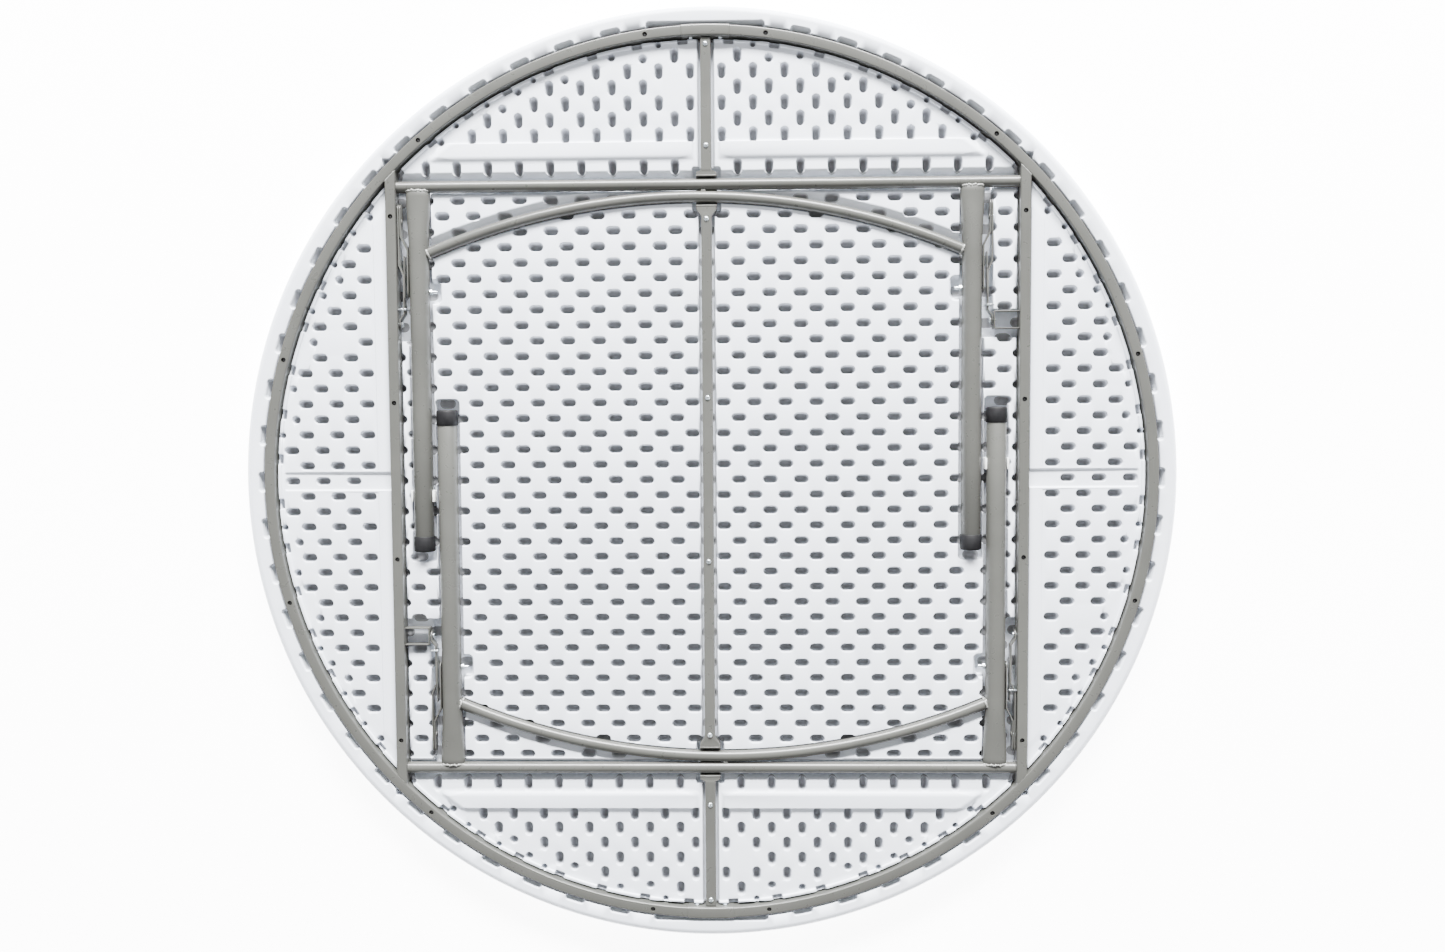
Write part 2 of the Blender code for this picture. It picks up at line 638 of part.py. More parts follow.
def leg_loops(x, inset):
    tapered = [LEG_START + (LEG_TAPER_END - LEG_START) * k / 6 for k in range(7)]
    distances = tapered + [LEG_LENGTH - FOOT_SOLE - GAP]
    loops = []
    for d in distances:
        half_width, half_height = leg_section(d, inset)
        angles = [2 * pi * k / ROUND_SEGMENTS for k in range(ROUND_SEGMENTS)]
        loops.append([(x + half_width * cos(a), -d, half_height * sin(a)) for a in angles])
    return loops


def arch_loops(radius):
    """The bent cross tube: an arc through its apex and its two joins with the legs."""
    loops = []
    for middle, outward in arch_line(ARCH_HALF_SPAN - LEG_RADIUS * 0.6, ARCH_STATIONS):
        middle = Vector((*middle, 0))
        outward = Vector((*outward, 0))
        ring = [2 * pi * j / ARCH_SEGMENTS for j in range(ARCH_SEGMENTS)]
        loops.append([middle + outward * radius * cos(b) + Vector((0, 0, radius * sin(b))) for b in ring])
    return loops


def make_leg_frame(end, turn, paint):
    """Pivot tube, two legs, arch and two feet, on an empty that sits on the fold axis."""
    sign = cos(turn)
    axis = add_empty(f"fold_axis_{end}", (0, sign * PIVOT_Y, PIVOT_Z), turn)
    grey = paint["grey_paint"]
    # Local X grows to the right of frame A; its outer leg is the left one.
    legs = {"outer": -LEG_OUTER_X, "inner": LEG_INNER_X}
    half_bar = RAIL_INNER_X + PIVOT_BAR_IN_RAIL / 2
    loops = []
    for radius in (PIVOT_BAR_RADIUS, PIVOT_BAR_RADIUS - LEG_WALL):
        angles = [2 * pi * k / ROUND_SEGMENTS for k in range(ROUND_SEGMENTS)]
        circle = [(radius * cos(a), radius * sin(a)) for a in angles]
        loops.append([[(x, y, z) for y, z in circle] for x in (-half_bar, half_bar)])
    add_object(f"pivot_tube_{end}", hollow_loft(*loops), grey, axis)

    cope_bar = rod(PIVOT_BAR_RADIUS + GAP, (-half_bar, 0, 0), (half_bar, 0, 0), ROUND_SEGMENTS)
    cope_bar = add_object(f"cut_leg_cope_{end}", cope_bar, None, axis)
    for which, x in legs.items():
        leg = hollow_loft(leg_loops(x, 0), leg_loops(x, LEG_WALL))
        leg = add_object(f"leg_{end}_{which}", leg, grey, axis)
        change(leg, cope_bar)
        y = -LEG_BOLT_DISTANCE
        drill = rod(PIN_RADIUS + RUNNING, (x - 2 * LEG_RADIUS, y, 0), (x + 2 * LEG_RADIUS, y, 0), 12)
        change(leg, add_object(f"cut_bolt_{end}_{which}", drill, None, axis))

        foot_end = -LEG_LENGTH
        foot = rod(FOOT_RADIUS, (x, foot_end, 0), (x, foot_end + FOOT_LENGTH, 0))
        foot = add_object(f"foot_cap_{end}_{which}", foot, paint["black_rubber"], axis)
        socket = rod(LEG_RADIUS + GAP, (x, foot_end + FOOT_SOLE, 0), (x, foot_end + FOOT_LENGTH + BURIED, 0))
        change(foot, add_object(f"cut_foot_{end}_{which}", socket, None, axis))

    arch = hollow_loft(arch_loops(ARCH_RADIUS), arch_loops(ARCH_RADIUS - LEG_WALL))
    arch = add_object(f"arch_tube_{end}", arch, grey, axis)
    for which, x in legs.items():
        cope = rod(LEG_RADIUS + 2 * GAP, (x, -ARCH_JOIN - 0.1, 0), (x, 0, 0), ROUND_SEGMENTS)
        change(arch, add_object(f"cut_arch_{end}_{which}", cope, None, axis))
    return axis


# ---- folding braces ----


def anchor_link_outline():
    """The strap pinned to the rail, seen along Z as (distance from the pin, u), with its spring leaf."""
    half = STRAP / 2
    main_low, main_high = MAIN_PLANE_U - half, MAIN_PLANE_U + half
    splice_low, splice_high = SPLICE_PLANE_U - half, SPLICE_PLANE_U + half
    leaf_low = splice_low - LEAF - GAP / 2
    leaf_high = splice_low - GAP / 2
    return [
        (-STRAP_HALF, main_high),
        (ANCHOR_BEND[0], main_high),
        (ANCHOR_BEND[1], splice_high),
        (FORK_START, splice_high),
        (FORK_END, main_high),
        (KNEE_S + TAIL, main_high),
        (KNEE_S + TAIL, main_low),
        (FORK_END + STRAP / 2, main_low),
        (FORK_START + STRAP, splice_low + LEAF / 2),
        (FORK_START + STRAP, leaf_high),
        (LEAF_END, leaf_high),
        (LEAF_END, leaf_low),
        (LEAF_START, leaf_low),
        (LEAF_START, splice_low),
        (ANCHOR_BEND[1] - STRAP / 4, splice_low),
        (ANCHOR_BEND[0] - STRAP / 2, main_low),
        (-STRAP_HALF, main_low),
    ]


def leg_link_outline():
    """The strap bolted to the leg, seen along Z as (distance past the knee, u)."""
    half = STRAP / 2
    bolt = -(KNEE_S - BRACE_FOLDED)
    bend_start, bend_end = (bolt + b for b in KNEE_BEND_FROM_BOLT)
    return [
        (bolt - STRAP_HALF, LEG_PLANE_U - half),
        (bend_start + STRAP / 4, LEG_PLANE_U - half),
        (bend_end + STRAP / 4, KNEE_PLANE_U - half),
        (TAIL, KNEE_PLANE_U - half),
        (TAIL, KNEE_PLANE_U + half),
        (bend_end - STRAP / 4, KNEE_PLANE_U + half),
        (bend_start - STRAP / 4, LEG_PLANE_U + half),
        (bolt - STRAP_HALF, LEG_PLANE_U + half),
    ]


def make_strap(name, outline, side, span, material, parent):
    """A strap from its outline seen along Z, its ends rounded in side view. u grows along X times side."""
    shape = prism([(side * u, s) for s, u in outline], "z", -STRAP_HALF, STRAP_HALF)
    strap = add_object(name, shape, material, parent)
    width = sorted((-side * BURIED, side * (BRACE_ROOM + BURIED)))
    trim = prism(rounded_strap(span[0], span[1], STRAP_HALF - GAP / 4), "x", *width)
    change(strap, add_object(f"cut_{name}", trim, None, parent), "INTERSECT")
    return strap


def cross_pin(radius, low_u, high_u, side, s=0.0, segments=12):
    return rod(radius, (side * low_u, s, 0), (side * high_u, s, 0), segments)


def lock_ring_shape(side):
    """The rectangular ring that slides along the strap, lying across it."""
    half = STRAP / 2
    inner_low = SPLICE_PLANE_U - half - LEAF - LOCK_ROOM - GAP / 2
    inner_high = MAIN_PLANE_U + half + GAP
    outer = (inner_low - LOCK_WALL, inner_high + LOCK_WALL)
    inner_z = STRAP_HALF + LOCK_ROOM
    outer_z = inner_z + LOCK_WALL
    loops = []
    for (u0, u1), z in ((outer, outer_z), ((inner_low, inner_high), inner_z)):
        corners = [(u0, -z), (u1, -z), (u1, z), (u0, z)]
        stations = [[(side * u, s, w) for u, w in corners] for s in (-LOCK_LENGTH / 2, LOCK_LENGTH / 2)]
        loops.append(stations)
    return hollow_loft(*loops)


def make_brace(end, which, turn, paint):
    """One folding brace: two straps, knee rivet, lock ring, rail pin and leg bolt with its nut."""
    grey, zinc = paint["grey_paint"], paint["zinc"]
    side = -1 if which == "outer" else 1  # where the rail lies, in the leg frame's own X
    leg_x = -LEG_OUTER_X if which == "outer" else LEG_INNER_X
    surface_x = leg_x + side * LEG_RADIUS
    frame_sign = cos(turn)
    left_or_right = "left" if side * frame_sign < 0 else "right"
    label = f"{end}_{left_or_right}"
    half = STRAP / 2

    anchor = add_empty(
        f"anchor_axis_{label}", (frame_sign * surface_x, frame_sign * ANCHOR_Y, PIVOT_Z), turn
    )
    knee = add_empty(f"knee_axis_{label}", (0, KNEE_S, 0))
    knee.parent = anchor

    strap = make_strap(
        f"anchor_link_{label}", anchor_link_outline(), side, (-STRAP_HALF, KNEE_S + TAIL), grey, anchor
    )
    for number, s in enumerate((0.0, KNEE_S)):
        drill = cross_pin(PIN_RADIUS + RUNNING, MAIN_PLANE_U - BURIED / 4, MAIN_PLANE_U + BURIED, side, s)
        change(strap, add_object(f"cut_anchor_{label}_{number}", drill, None, anchor))

    bolt_s = -(KNEE_S - BRACE_FOLDED)
    link = make_strap(
        f"leg_link_{label}", leg_link_outline(), side, (bolt_s - STRAP_HALF, TAIL), grey, knee
    )
    knee_head = cross_pin(PIN_HEAD_RADIUS, KNEE_PLANE_U - half - KNEE_HEAD, KNEE_PLANE_U, side)
    change(link, add_object(f"join_knee_{label}", knee_head, None, knee), "UNION")
    bolt_head = cross_pin(PIN_HEAD_RADIUS, LEG_PLANE_U, LEG_PLANE_U + half + BOLT_HEAD, side, bolt_s)
    change(link, add_object(f"join_bolt_{label}", bolt_head, None, knee), "UNION")

    # The rivet turns with the strap it passes through, and stops short of the strap bolted to the leg.
    rivet = cross_pin(PIN_RADIUS, KNEE_PLANE_U + half + GAP, MAIN_PLANE_U + half + 2 * GAP, side)
    rivet = add_object(f"knee_rivet_{label}", rivet, zinc, knee)
    head_low = MAIN_PLANE_U + half + GAP
    rivet_head = cross_pin(PIN_HEAD_RADIUS, head_low, head_low + KNEE_HEAD, side)
    change(rivet, add_object(f"join_rivet_{label}", rivet_head, None, knee), "UNION")

    lock = add_object(f"lock_ring_{label}", lock_ring_shape(side), zinc, anchor)
    lock.location = (0, LOCK_PARKED[label], 0)

    pin_end = BRACE_ROOM + BRACKET_SHEET + 0.003
    pin = cross_pin(PIN_RADIUS, MAIN_PLANE_U - half - 2 * GAP, pin_end, side)
    pin = add_object(f"anchor_pin_{label}", pin, zinc, anchor)
    head_high = MAIN_PLANE_U - half - GAP
    pin_head = cross_pin(PIN_HEAD_RADIUS, head_high - ANCHOR_HEAD, head_high, side)
    change(pin, add_object(f"join_pin_{label}", pin_head, None, anchor), "UNION")

    # The leg bolt and its nut, in the leg's frame: they stop short of the strap.
    fold = bpy.data.objects[f"fold_axis_{end}"]
    near = surface_x + side * (LEG_PLANE_U - half - GAP)
    far = leg_x - side * (LEG_RADIUS + BOLT_END)
    y = -LEG_BOLT_DISTANCE
    bolt = rod(PIN_RADIUS, (near, y, 0), (far, y, 0), 12)
    add_object(f"leg_bolt_{label}", bolt, zinc, fold)
    nut_near = leg_x - side * (LEG_RADIUS + GAP)
    nut_far = nut_near - side * NUT_HEIGHT
    nut = add_object(f"leg_nut_{label}", rod(NUT_RADIUS, (nut_near, y, 0), (nut_far, y, 0), 6), zinc, fold)
    drill = rod(PIN_RADIUS + RUNNING, (leg_x, y, 0), (nut_far - side * BURIED, y, 0), 12)
    change(nut, add_object(f"cut_nut_{label}", drill, None, fold))


def main():
    clear_scene()
    paint = make_materials()
    make_panel(paint)
    make_ring(paint)
    make_rails(paint)
    make_beams(paint)
    make_saddles(paint)
    make_brackets(paint)
    make_clips(paint)
    for end, turn in (("a", 0.0), ("b", pi)):
        make_leg_frame(end, turn, paint)
        for which in ("outer", "inner"):
            make_brace(end, which, turn, paint)


main()
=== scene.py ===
"""The looks of a round folding table that lies face down on its top, both leg frames folded flat.

Everything is in the frame's own metres: +Z points out of the underside, X runs along the two pivot
tubes and Y along the centre beam. Leg frame B is leg frame A turned half a turn about Z.
"""

from math import asin, atan2, cos, hypot, pi, radians, sin, sqrt

import bmesh
import bpy
import numpy as np
from mathutils import Matrix, Vector
from mathutils.geometry import delaunay_2d_cdt
from mathutils.kdtree import KDTree


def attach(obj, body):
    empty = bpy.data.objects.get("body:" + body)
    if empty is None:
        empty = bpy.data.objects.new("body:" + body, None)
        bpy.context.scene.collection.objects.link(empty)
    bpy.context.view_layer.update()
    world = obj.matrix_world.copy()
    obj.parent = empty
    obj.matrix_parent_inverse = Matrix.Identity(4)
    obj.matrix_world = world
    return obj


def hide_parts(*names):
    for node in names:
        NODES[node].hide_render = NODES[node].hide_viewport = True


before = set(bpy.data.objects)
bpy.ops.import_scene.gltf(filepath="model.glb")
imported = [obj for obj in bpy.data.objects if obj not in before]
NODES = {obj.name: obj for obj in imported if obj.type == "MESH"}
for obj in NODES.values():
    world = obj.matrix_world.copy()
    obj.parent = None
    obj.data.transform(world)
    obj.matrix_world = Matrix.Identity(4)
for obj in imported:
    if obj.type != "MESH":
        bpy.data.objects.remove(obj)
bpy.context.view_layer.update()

# ---- the frame's main sizes ----
PANEL_RADIUS = 0.900
EDGE_ROUND = 0.006
LIP_ROUND = 0.014
RIM_Z = 0.050
LAND_Z = 0.036
RIDGE_Z = 0.040
GROOVE_Z = 0.0206
GROOVE_INNER = 0.8392
GROOVE_OUTER = 0.8668
RING_RADIUS = 0.853
TUBE_WIDTH = 0.020
TUBE_HEIGHT = 0.030
TUBE_ROUND = 0.0028
TUBE_TOP_Z = 0.051
SLEEVE_LENGTH = 0.091
SLEEVE_WALL = 0.0015
RAIL_X = 0.606
BEAM_WIDTH = 0.020
BEAM_TOP_Z = 0.047
BEAM_BOTTOM_Z = 0.023
PIVOT_Y = 0.566
PIVOT_Z = 0.036
PIVOT_RADIUS = 0.011
PIVOT_HALF = 0.603
LEG_RADIUS = 0.019
LEG_OUTER_X = 0.5555
LEG_INNER_X = 0.507
LEG_LENGTH = 0.704
LEG_START = 0.0075
LEG_TAPER_END = 0.130
LEG_FLARE_HALF = 0.0235
LEG_FLAT_HALF = 0.0132
ARCH_RADIUS = 0.011
ARCH_APEX = 0.023
ARCH_JOIN = 0.135
ARCH_HALF_SPAN = (LEG_OUTER_X + LEG_INNER_X) / 2
ARCH_CENTRE_X = (LEG_INNER_X - LEG_OUTER_X) / 2
ARCH_RISE = ARCH_JOIN - ARCH_APEX
ARCH_BEND = (ARCH_HALF_SPAN**2 + ARCH_RISE**2) / (2 * ARCH_RISE)
FOOT_RADIUS = 0.0205
FOOT_LENGTH = 0.030
LEG_BOLT_DISTANCE = 0.2005
ANCHOR_Y = 0.304
BRACKET_HALF = 0.01725
SADDLE_NEAR = 0.523
SADDLE_FAR = 0.583
SLEEVE_INNER_Y = RING_RADIUS - TUBE_WIDTH / 2 - SLEEVE_WALL
ACCESS_HOLE_RADIUS = 0.0046
RAIL_HOLE_YS = (0.152, 0.509)
RING_HOLE_ANGLES = (7.7, 40.1, 73.9)
BEAM_SCREW_YS = (0.1585, 0.4995, 0.638, 0.828)
BRACE_LABELS = ("a_left", "a_right", "b_right", "b_left")

# ---- the moulded underside ----
PITCH_X = 0.0300  # half of the dimples' pitch
PITCH_Y = 0.0300
DIMPLE_REACH = ((0.07, 0.8365), (0.215, 0.8308), (1.0, 0.8275))  # (offset, radius a long one may reach)
DIMPLE_HALF_LENGTH = 0.0158
DIMPLE_HALF_WIDTH = 0.0096
DIMPLE_WALL = 0.0052
DIMPLE_FLOOR_Z = 0.0115
SIDE_COLUMN_X = 0.6635
CONTOURS = (0.0, 0.4, 1.0)
RIM_STEPS = 60  # pockets round the rim
CHANNEL_Z = 0.0145
BRACE_CHANNEL_Z = 0.0075
RIB_NORTH_Y = 0.6460
RIB_SOUTH_Y = 0.6235
RIB_HEIGHT = 0.0055
BAND_INNER_X = 0.6165
BAND_OUTER_X = 0.6455
BAND_HEIGHT = 0.0016


# ---- materials ----

PLASTIC = (0.795, 0.838, 0.915)


def principled(name, colour, roughness, metallic=0.0, specular=0.5):
    material = bpy.data.materials.new(name)
    material.use_nodes = True
    shader = material.node_tree.nodes["Principled BSDF"]
    shader.inputs["Base Color"].default_value = (*colour, 1.0)
    shader.inputs["Roughness"].default_value = roughness
    shader.inputs["Metallic"].default_value = metallic
    shader.inputs["Specular IOR Level"].default_value = specular
    return material


def add_noise(tree, scale, detail, stretch=(1, 1, 1)):
    """A noise texture over the object's own coordinates."""
    coordinates = tree.nodes.new("ShaderNodeTexCoord")
    mapping = tree.nodes.new("ShaderNodeMapping")
    mapping.inputs["Scale"].default_value = stretch
    noise = tree.nodes.new("ShaderNodeTexNoise")
    noise.inputs["Scale"].default_value = scale
    noise.inputs["Detail"].default_value = detail
    tree.links.new(coordinates.outputs["Object"], mapping.inputs["Vector"])
    tree.links.new(mapping.outputs["Vector"], noise.inputs["Vector"])
    return noise.outputs["Fac"]


def ramp(tree, source, stops):
    """A colour ramp over source; stops are (place, colour)."""
    node = tree.nodes.new("ShaderNodeValToRGB")
    elements = node.color_ramp.elements
    while len(elements) < len(stops):
        elements.new(0.5)
    for element, (place, colour) in zip(elements, stops):
        element.position = place
        element.color = (*colour, 1.0)
    tree.links.new(source, node.inputs["Fac"])
    return node.outputs["Color"]


def vary(material, scale, detail, low, high, stretch=(1, 1, 1)):
    """Base colour that drifts between two tones."""
    tree = material.node_tree
    shader = tree.nodes["Principled BSDF"]
    noise = add_noise(tree, scale, detail, stretch)
    tree.links.new(ramp(tree, noise, ((0.30, low), (0.70, high))), shader.inputs["Base Color"])


def paint_shade_by_depth(material, low, high, stops):
    """Painted shade: base colour by height above the table's face, darker the lower a surface lies,
    standing in for the shade inside recesses.
    """
    tree = material.node_tree
    coordinates = tree.nodes.new("ShaderNodeTexCoord")
    split = tree.nodes.new("ShaderNodeSeparateXYZ")
    spread = tree.nodes.new("ShaderNodeMapRange")
    spread.inputs["From Min"].default_value = low
    spread.inputs["From Max"].default_value = high
    tree.links.new(coordinates.outputs["Object"], split.inputs["Vector"])
    tree.links.new(split.outputs["Z"], spread.inputs["Value"])
    colour = ramp(tree, spread.outputs["Result"], stops)
    tree.links.new(colour, tree.nodes["Principled BSDF"].inputs["Base Color"])


def roughen(material, scale, detail, low, high):
    """Roughness that drifts between two values."""
    tree = material.node_tree
    shader = tree.nodes["Principled BSDF"]
    noise = add_noise(tree, scale, detail)
    spread = tree.nodes.new("ShaderNodeMapRange")
    spread.inputs["To Min"].default_value = low
    spread.inputs["To Max"].default_value = high
    tree.links.new(noise, spread.inputs["Value"])
    tree.links.new(spread.outputs["Result"], shader.inputs["Roughness"])


def bump(material, scale, detail, distance, strength, stretch=(1, 1, 1)):
    tree = material.node_tree
    shader = tree.nodes["Principled BSDF"]
    noise = add_noise(tree, scale, detail, stretch)
    node = tree.nodes.new("ShaderNodeBump")
    node.inputs["Distance"].default_value = distance
    node.inputs["Strength"].default_value = strength
    tree.links.new(noise, node.inputs["Height"])
    tree.links.new(node.outputs["Normal"], shader.inputs["Normal"])


def make_materials():
    made = {}

    plastic = principled("moulded_plastic", PLASTIC, 0.42, specular=0.45)
    vary(plastic, 3.0, 3.0, (0.775, 0.820, 0.905), (0.815, 0.855, 0.925))
    roughen(plastic, 45.0, 3.0, 0.36, 0.50)
    bump(plastic, 900.0, 2.0, 0.0002, 0.12)
    made["plastic"] = plastic

    # Painted shade: the plastic darkened by height, standing in for the shade that falls in dimples,
    # pockets and the ring's groove.
    thin = principled("moulded_plastic_thin", PLASTIC, 0.42, specular=0.45)
    paint_shade_by_depth(thin, 0.010, 0.040, ((0.0, (0.27, 0.275, 0.29)), (0.45, (0.42, 0.43, 0.46)), (0.85, PLASTIC)))
    roughen(thin, 45.0, 3.0, 0.38, 0.52)
    bump(thin, 900.0, 2.0, 0.0002, 0.12)
    made["thin"] = thin

    paint = principled("grey_powder_paint", (0.074, 0.075, 0.069), 0.30)
    vary(paint, 9.0, 4.0, (0.067, 0.068, 0.062), (0.081, 0.082, 0.075))
    roughen(paint, 70.0, 3.0, 0.24, 0.34)
    bump(paint, 620.0, 2.0, 0.0002, 0.22)
    made["paint"] = paint

    # Weld beads: their lumps are real, while their tone, several times lighter than the frame paint, is a
    # painted highlight for light catching the joins.
    weld = principled("weld_painted_highlight", (0.25, 0.255, 0.24), 0.30)
    vary(weld, 260.0, 3.0, (0.20, 0.202, 0.19), (0.33, 0.333, 0.315))
    roughen(weld, 240.0, 2.0, 0.22, 0.40)
    bump(weld, 420.0, 3.0, 0.0004, 0.35)
    made["weld"] = weld

    zinc = principled("zinc_plate", (0.72, 0.77, 0.80), 0.28, metallic=1.0)
    vary(zinc, 160.0, 3.0, (0.62, 0.68, 0.72), (0.80, 0.85, 0.88))
    roughen(zinc, 300.0, 2.0, 0.20, 0.36)
    bump(zinc, 900.0, 2.0, 0.0001, 0.20)
    made["zinc"] = zinc

    rubber = principled("black_rubber", (0.009, 0.009, 0.010), 0.5, specular=0.18)
    vary(rubber, 60.0, 3.0, (0.006, 0.006, 0.007), (0.012, 0.012, 0.013))
    roughen(rubber, 120.0, 3.0, 0.46, 0.64)
    bump(rubber, 1100.0, 3.0, 0.0002, 0.30)
    made["rubber"] = rubber

    clip = principled("white_clip_plastic", (0.86, 0.88, 0.86), 0.40)
    vary(clip, 50.0, 2.0, (0.83, 0.85, 0.83), (0.89, 0.91, 0.89))
    roughen(clip, 90.0, 2.0, 0.34, 0.46)
    bump(clip, 900.0, 2.0, 0.0001, 0.15)
    made["clip"] = clip

    black = principled("blackened_screw", (0.012, 0.012, 0.013), 0.48)
    vary(black, 300.0, 2.0, (0.008, 0.008, 0.009), (0.018, 0.018, 0.019))
    roughen(black, 300.0, 2.0, 0.38, 0.60)
    bump(black, 900.0, 2.0, 0.0001, 0.25)
    made["black"] = black
    return made


PAINTS = make_materials()


# ---- mesh helpers ----


def add_piece(name, mesh, paint, body, replaces=(), sharp=None):
    """A piece of the object: smooth shaded, riding on a body, standing for CAD nodes if it has any."""
    if isinstance(mesh, bmesh.types.BMesh):
        bmesh.ops.remove_doubles(mesh, verts=mesh.verts, dist=1e-6)
        bmesh.ops.recalc_face_normals(mesh, faces=mesh.faces)
        data = bpy.data.meshes.new(name)
        mesh.to_mesh(data)
        mesh.free()
        mesh = data
    if sharp is not None:
        mesh.shade_smooth()
        mesh.set_sharp_from_angle(angle=radians(sharp))
    mesh.materials.clear()
    mesh.materials.append(PAINTS[paint])
    made = bpy.data.objects.new(name, mesh)
    bpy.context.scene.collection.objects.link(made)
    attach(made, body)
    if replaces:
        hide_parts(*replaces)
    return made


def skin(loops, closed_ends=True):
    """Quads between loops of points, and a face over each end."""
    bm = bmesh.new()
    rows = [[bm.verts.new(p) for p in loop] for loop in loops]
    count = len(rows[0])
    for a, b in zip(rows, rows[1:]):
        for k in range(count):
            n = (k + 1) % count
            bm.faces.new((a[k], a[n], b[n], b[k]))
    if closed_ends:
        bm.faces.new(rows[0])
        bm.faces.new(rows[-1])
    return bm


def rounded_section(width, height, corner, steps=4):
    """Points round a rectangle with rounded corners, its centre at the origin."""
    points = []
    for sx, sy, first in ((1, 1, 0), (-1, 1, 90), (-1, -1, 180), (1, -1, 270)):
        for k in range(steps + 1):
            a = radians(first + 90 * k / steps)
            points.append((
                sx * (width / 2 - corner) + corner * cos(a),
                sy * (height / 2 - corner) + corner * sin(a),
            ))
    return points


def circle(radius, count):
    return [(radius * cos(2 * pi * k / count), radius * sin(2 * pi * k / count)) for k in range(count)]


def turned(profile, count, place, axis):
    """A solid of revolution: (radius, distance) points along an axis through place."""
    axis = Vector(axis).normalized()
    side = axis.orthogonal().normalized()
    up = axis.cross(side)
    loops = []
    for radius, along in profile:
        middle = Vector(place) + axis * along
        loops.append([middle + side * a + up * b for a, b in circle(max(radius, 1e-5), count)])
    return skin(loops)


def smooth_share(t):
    t = min(1.0, max(0.0, t))
    return t * t * (3 - 2 * t)


# ---- the moulded top ----


def soft(t):
    """From 0 on the land to 1 on the floor: a rounded edge, a steep wall and a fillet."""
    t = np.clip(t, 0.0, 1.0) ** 1.25
    return t * t * (3 - 2 * t)


def rise(value, start, end):
    t = np.clip((value - start) / (end - start), 0.0, 1.0)
    return t * t * (3 - 2 * t)


def base_height(x, y):
    """The underside before anything is sunk into it: land, ribs, side bands, ridge, rim and lip."""
    r = np.hypot(x, y)
    ax, ay = np.abs(x), np.abs(y)
    inland = 1 - rise(r, 0.806, 0.822)
    rib = rise(ay, RIB_SOUTH_Y - 0.014, RIB_SOUTH_Y) * (1 - rise(ay, RIB_NORTH_Y, RIB_NORTH_Y + 0.0035))
    rib = rib * rise(ax, 0.022, 0.030) * inland
    band = rise(ax, BAND_INNER_X, BAND_INNER_X + 0.003) * (1 - rise(ax, BAND_OUTER_X - 0.003, BAND_OUTER_X))
    band = band * (1 - rise(ay, 0.535, 0.550)) * inland
    z = LAND_Z + RIB_HEIGHT * rib + BAND_HEIGHT * band
    z = z + (RIDGE_Z - LAND_Z) * rise(r, 0.8325, 0.8350)
    z = np.where(r > RING_RADIUS, RIM_Z, z)
    lip = np.clip(r - (PANEL_RADIUS - LIP_ROUND), 0.0, LIP_ROUND)
    return np.where(lip > 0, RIM_Z - LIP_ROUND + np.sqrt(LIP_ROUND**2 - lip**2), z)


def box_share(x, y, low, high, corner, wall):
    """How far inside a rounded box each point is, as a share of its wall's width."""
    qx = np.abs(x - (low[0] + high[0]) / 2) - ((high[0] - low[0]) / 2 - corner)
    qy = np.abs(y - (low[1] + high[1]) / 2) - ((high[1] - low[1]) / 2 - corner)
    outside = np.hypot(np.maximum(qx, 0), np.maximum(qy, 0)) + np.minimum(np.maximum(qx, qy), 0) - corner
    return -outside / wall


def box_loop(low, high, corner, inset):
    """The rounded box's outline, moved in by inset."""
    middle = ((low[0] + high[0]) / 2, (low[1] + high[1]) / 2)
    section = rounded_section(
        high[0] - low[0] - 2 * inset, high[1] - low[1] - 2 * inset, max(corner - inset, 0.0002), 5
    )
    return [(middle[0] + a, middle[1] + b) for a, b in section]


def box_cut(low, high, floor, corner=0.010, wall=0.004):
    low, high = np.minimum(low, high), np.maximum(low, high)
    loops = [box_loop(low, high, corner, wall * share) for share in CONTOURS]
    return (lambda x, y: box_share(x, y, low, high, corner, wall)), floor, loops


def polar_pockets(radius, half_radial, half_along, phase, floor, corner, wall, skip, count=RIM_STEPS):
    """Equal pockets at count places round the rim; those whose number is in skip are left out."""
    step = 2 * pi / count

    def share(x, y):
        turn = np.arctan2(x, y) / step - phase
        number = np.round(turn)
        along = (turn - number) * step * radius
        radial = np.hypot(x, y) - radius
        low, high = (-half_along, -half_radial), (half_along, half_radial)
        t = box_share(along, radial, low, high, corner, wall)
        kept = ~np.isin(np.mod(number, count), list(skip))
        return np.where(kept, t, 0.0)

    loops = []
    for number in range(count):
        if number in skip:
            continue
        for inset in CONTOURS:
            flat = box_loop((-half_along, -half_radial), (half_along, half_radial), corner, wall * inset)
            loop = []
            for along, radial in flat:
                a = (number + phase) * step + along / radius
                loop.append(((radius + radial) * sin(a), (radius + radial) * cos(a)))
            loops.append(loop)
    return share, floor, loops


def ring_groove():
    half = (GROOVE_OUTER - GROOVE_INNER) / 2
    middle = (GROOVE_OUTER + GROOVE_INNER) / 2
    wall = 0.0022

    def share(x, y):
        return (half - np.abs(np.hypot(x, y) - middle)) / wall

    loops = []
    for inset in CONTOURS:
        for r in (middle - half + wall * inset, middle + half - wall * inset):
            loops.append([(a, b) for a, b in circle(r, 300)])
    return share, GROOVE_Z, loops


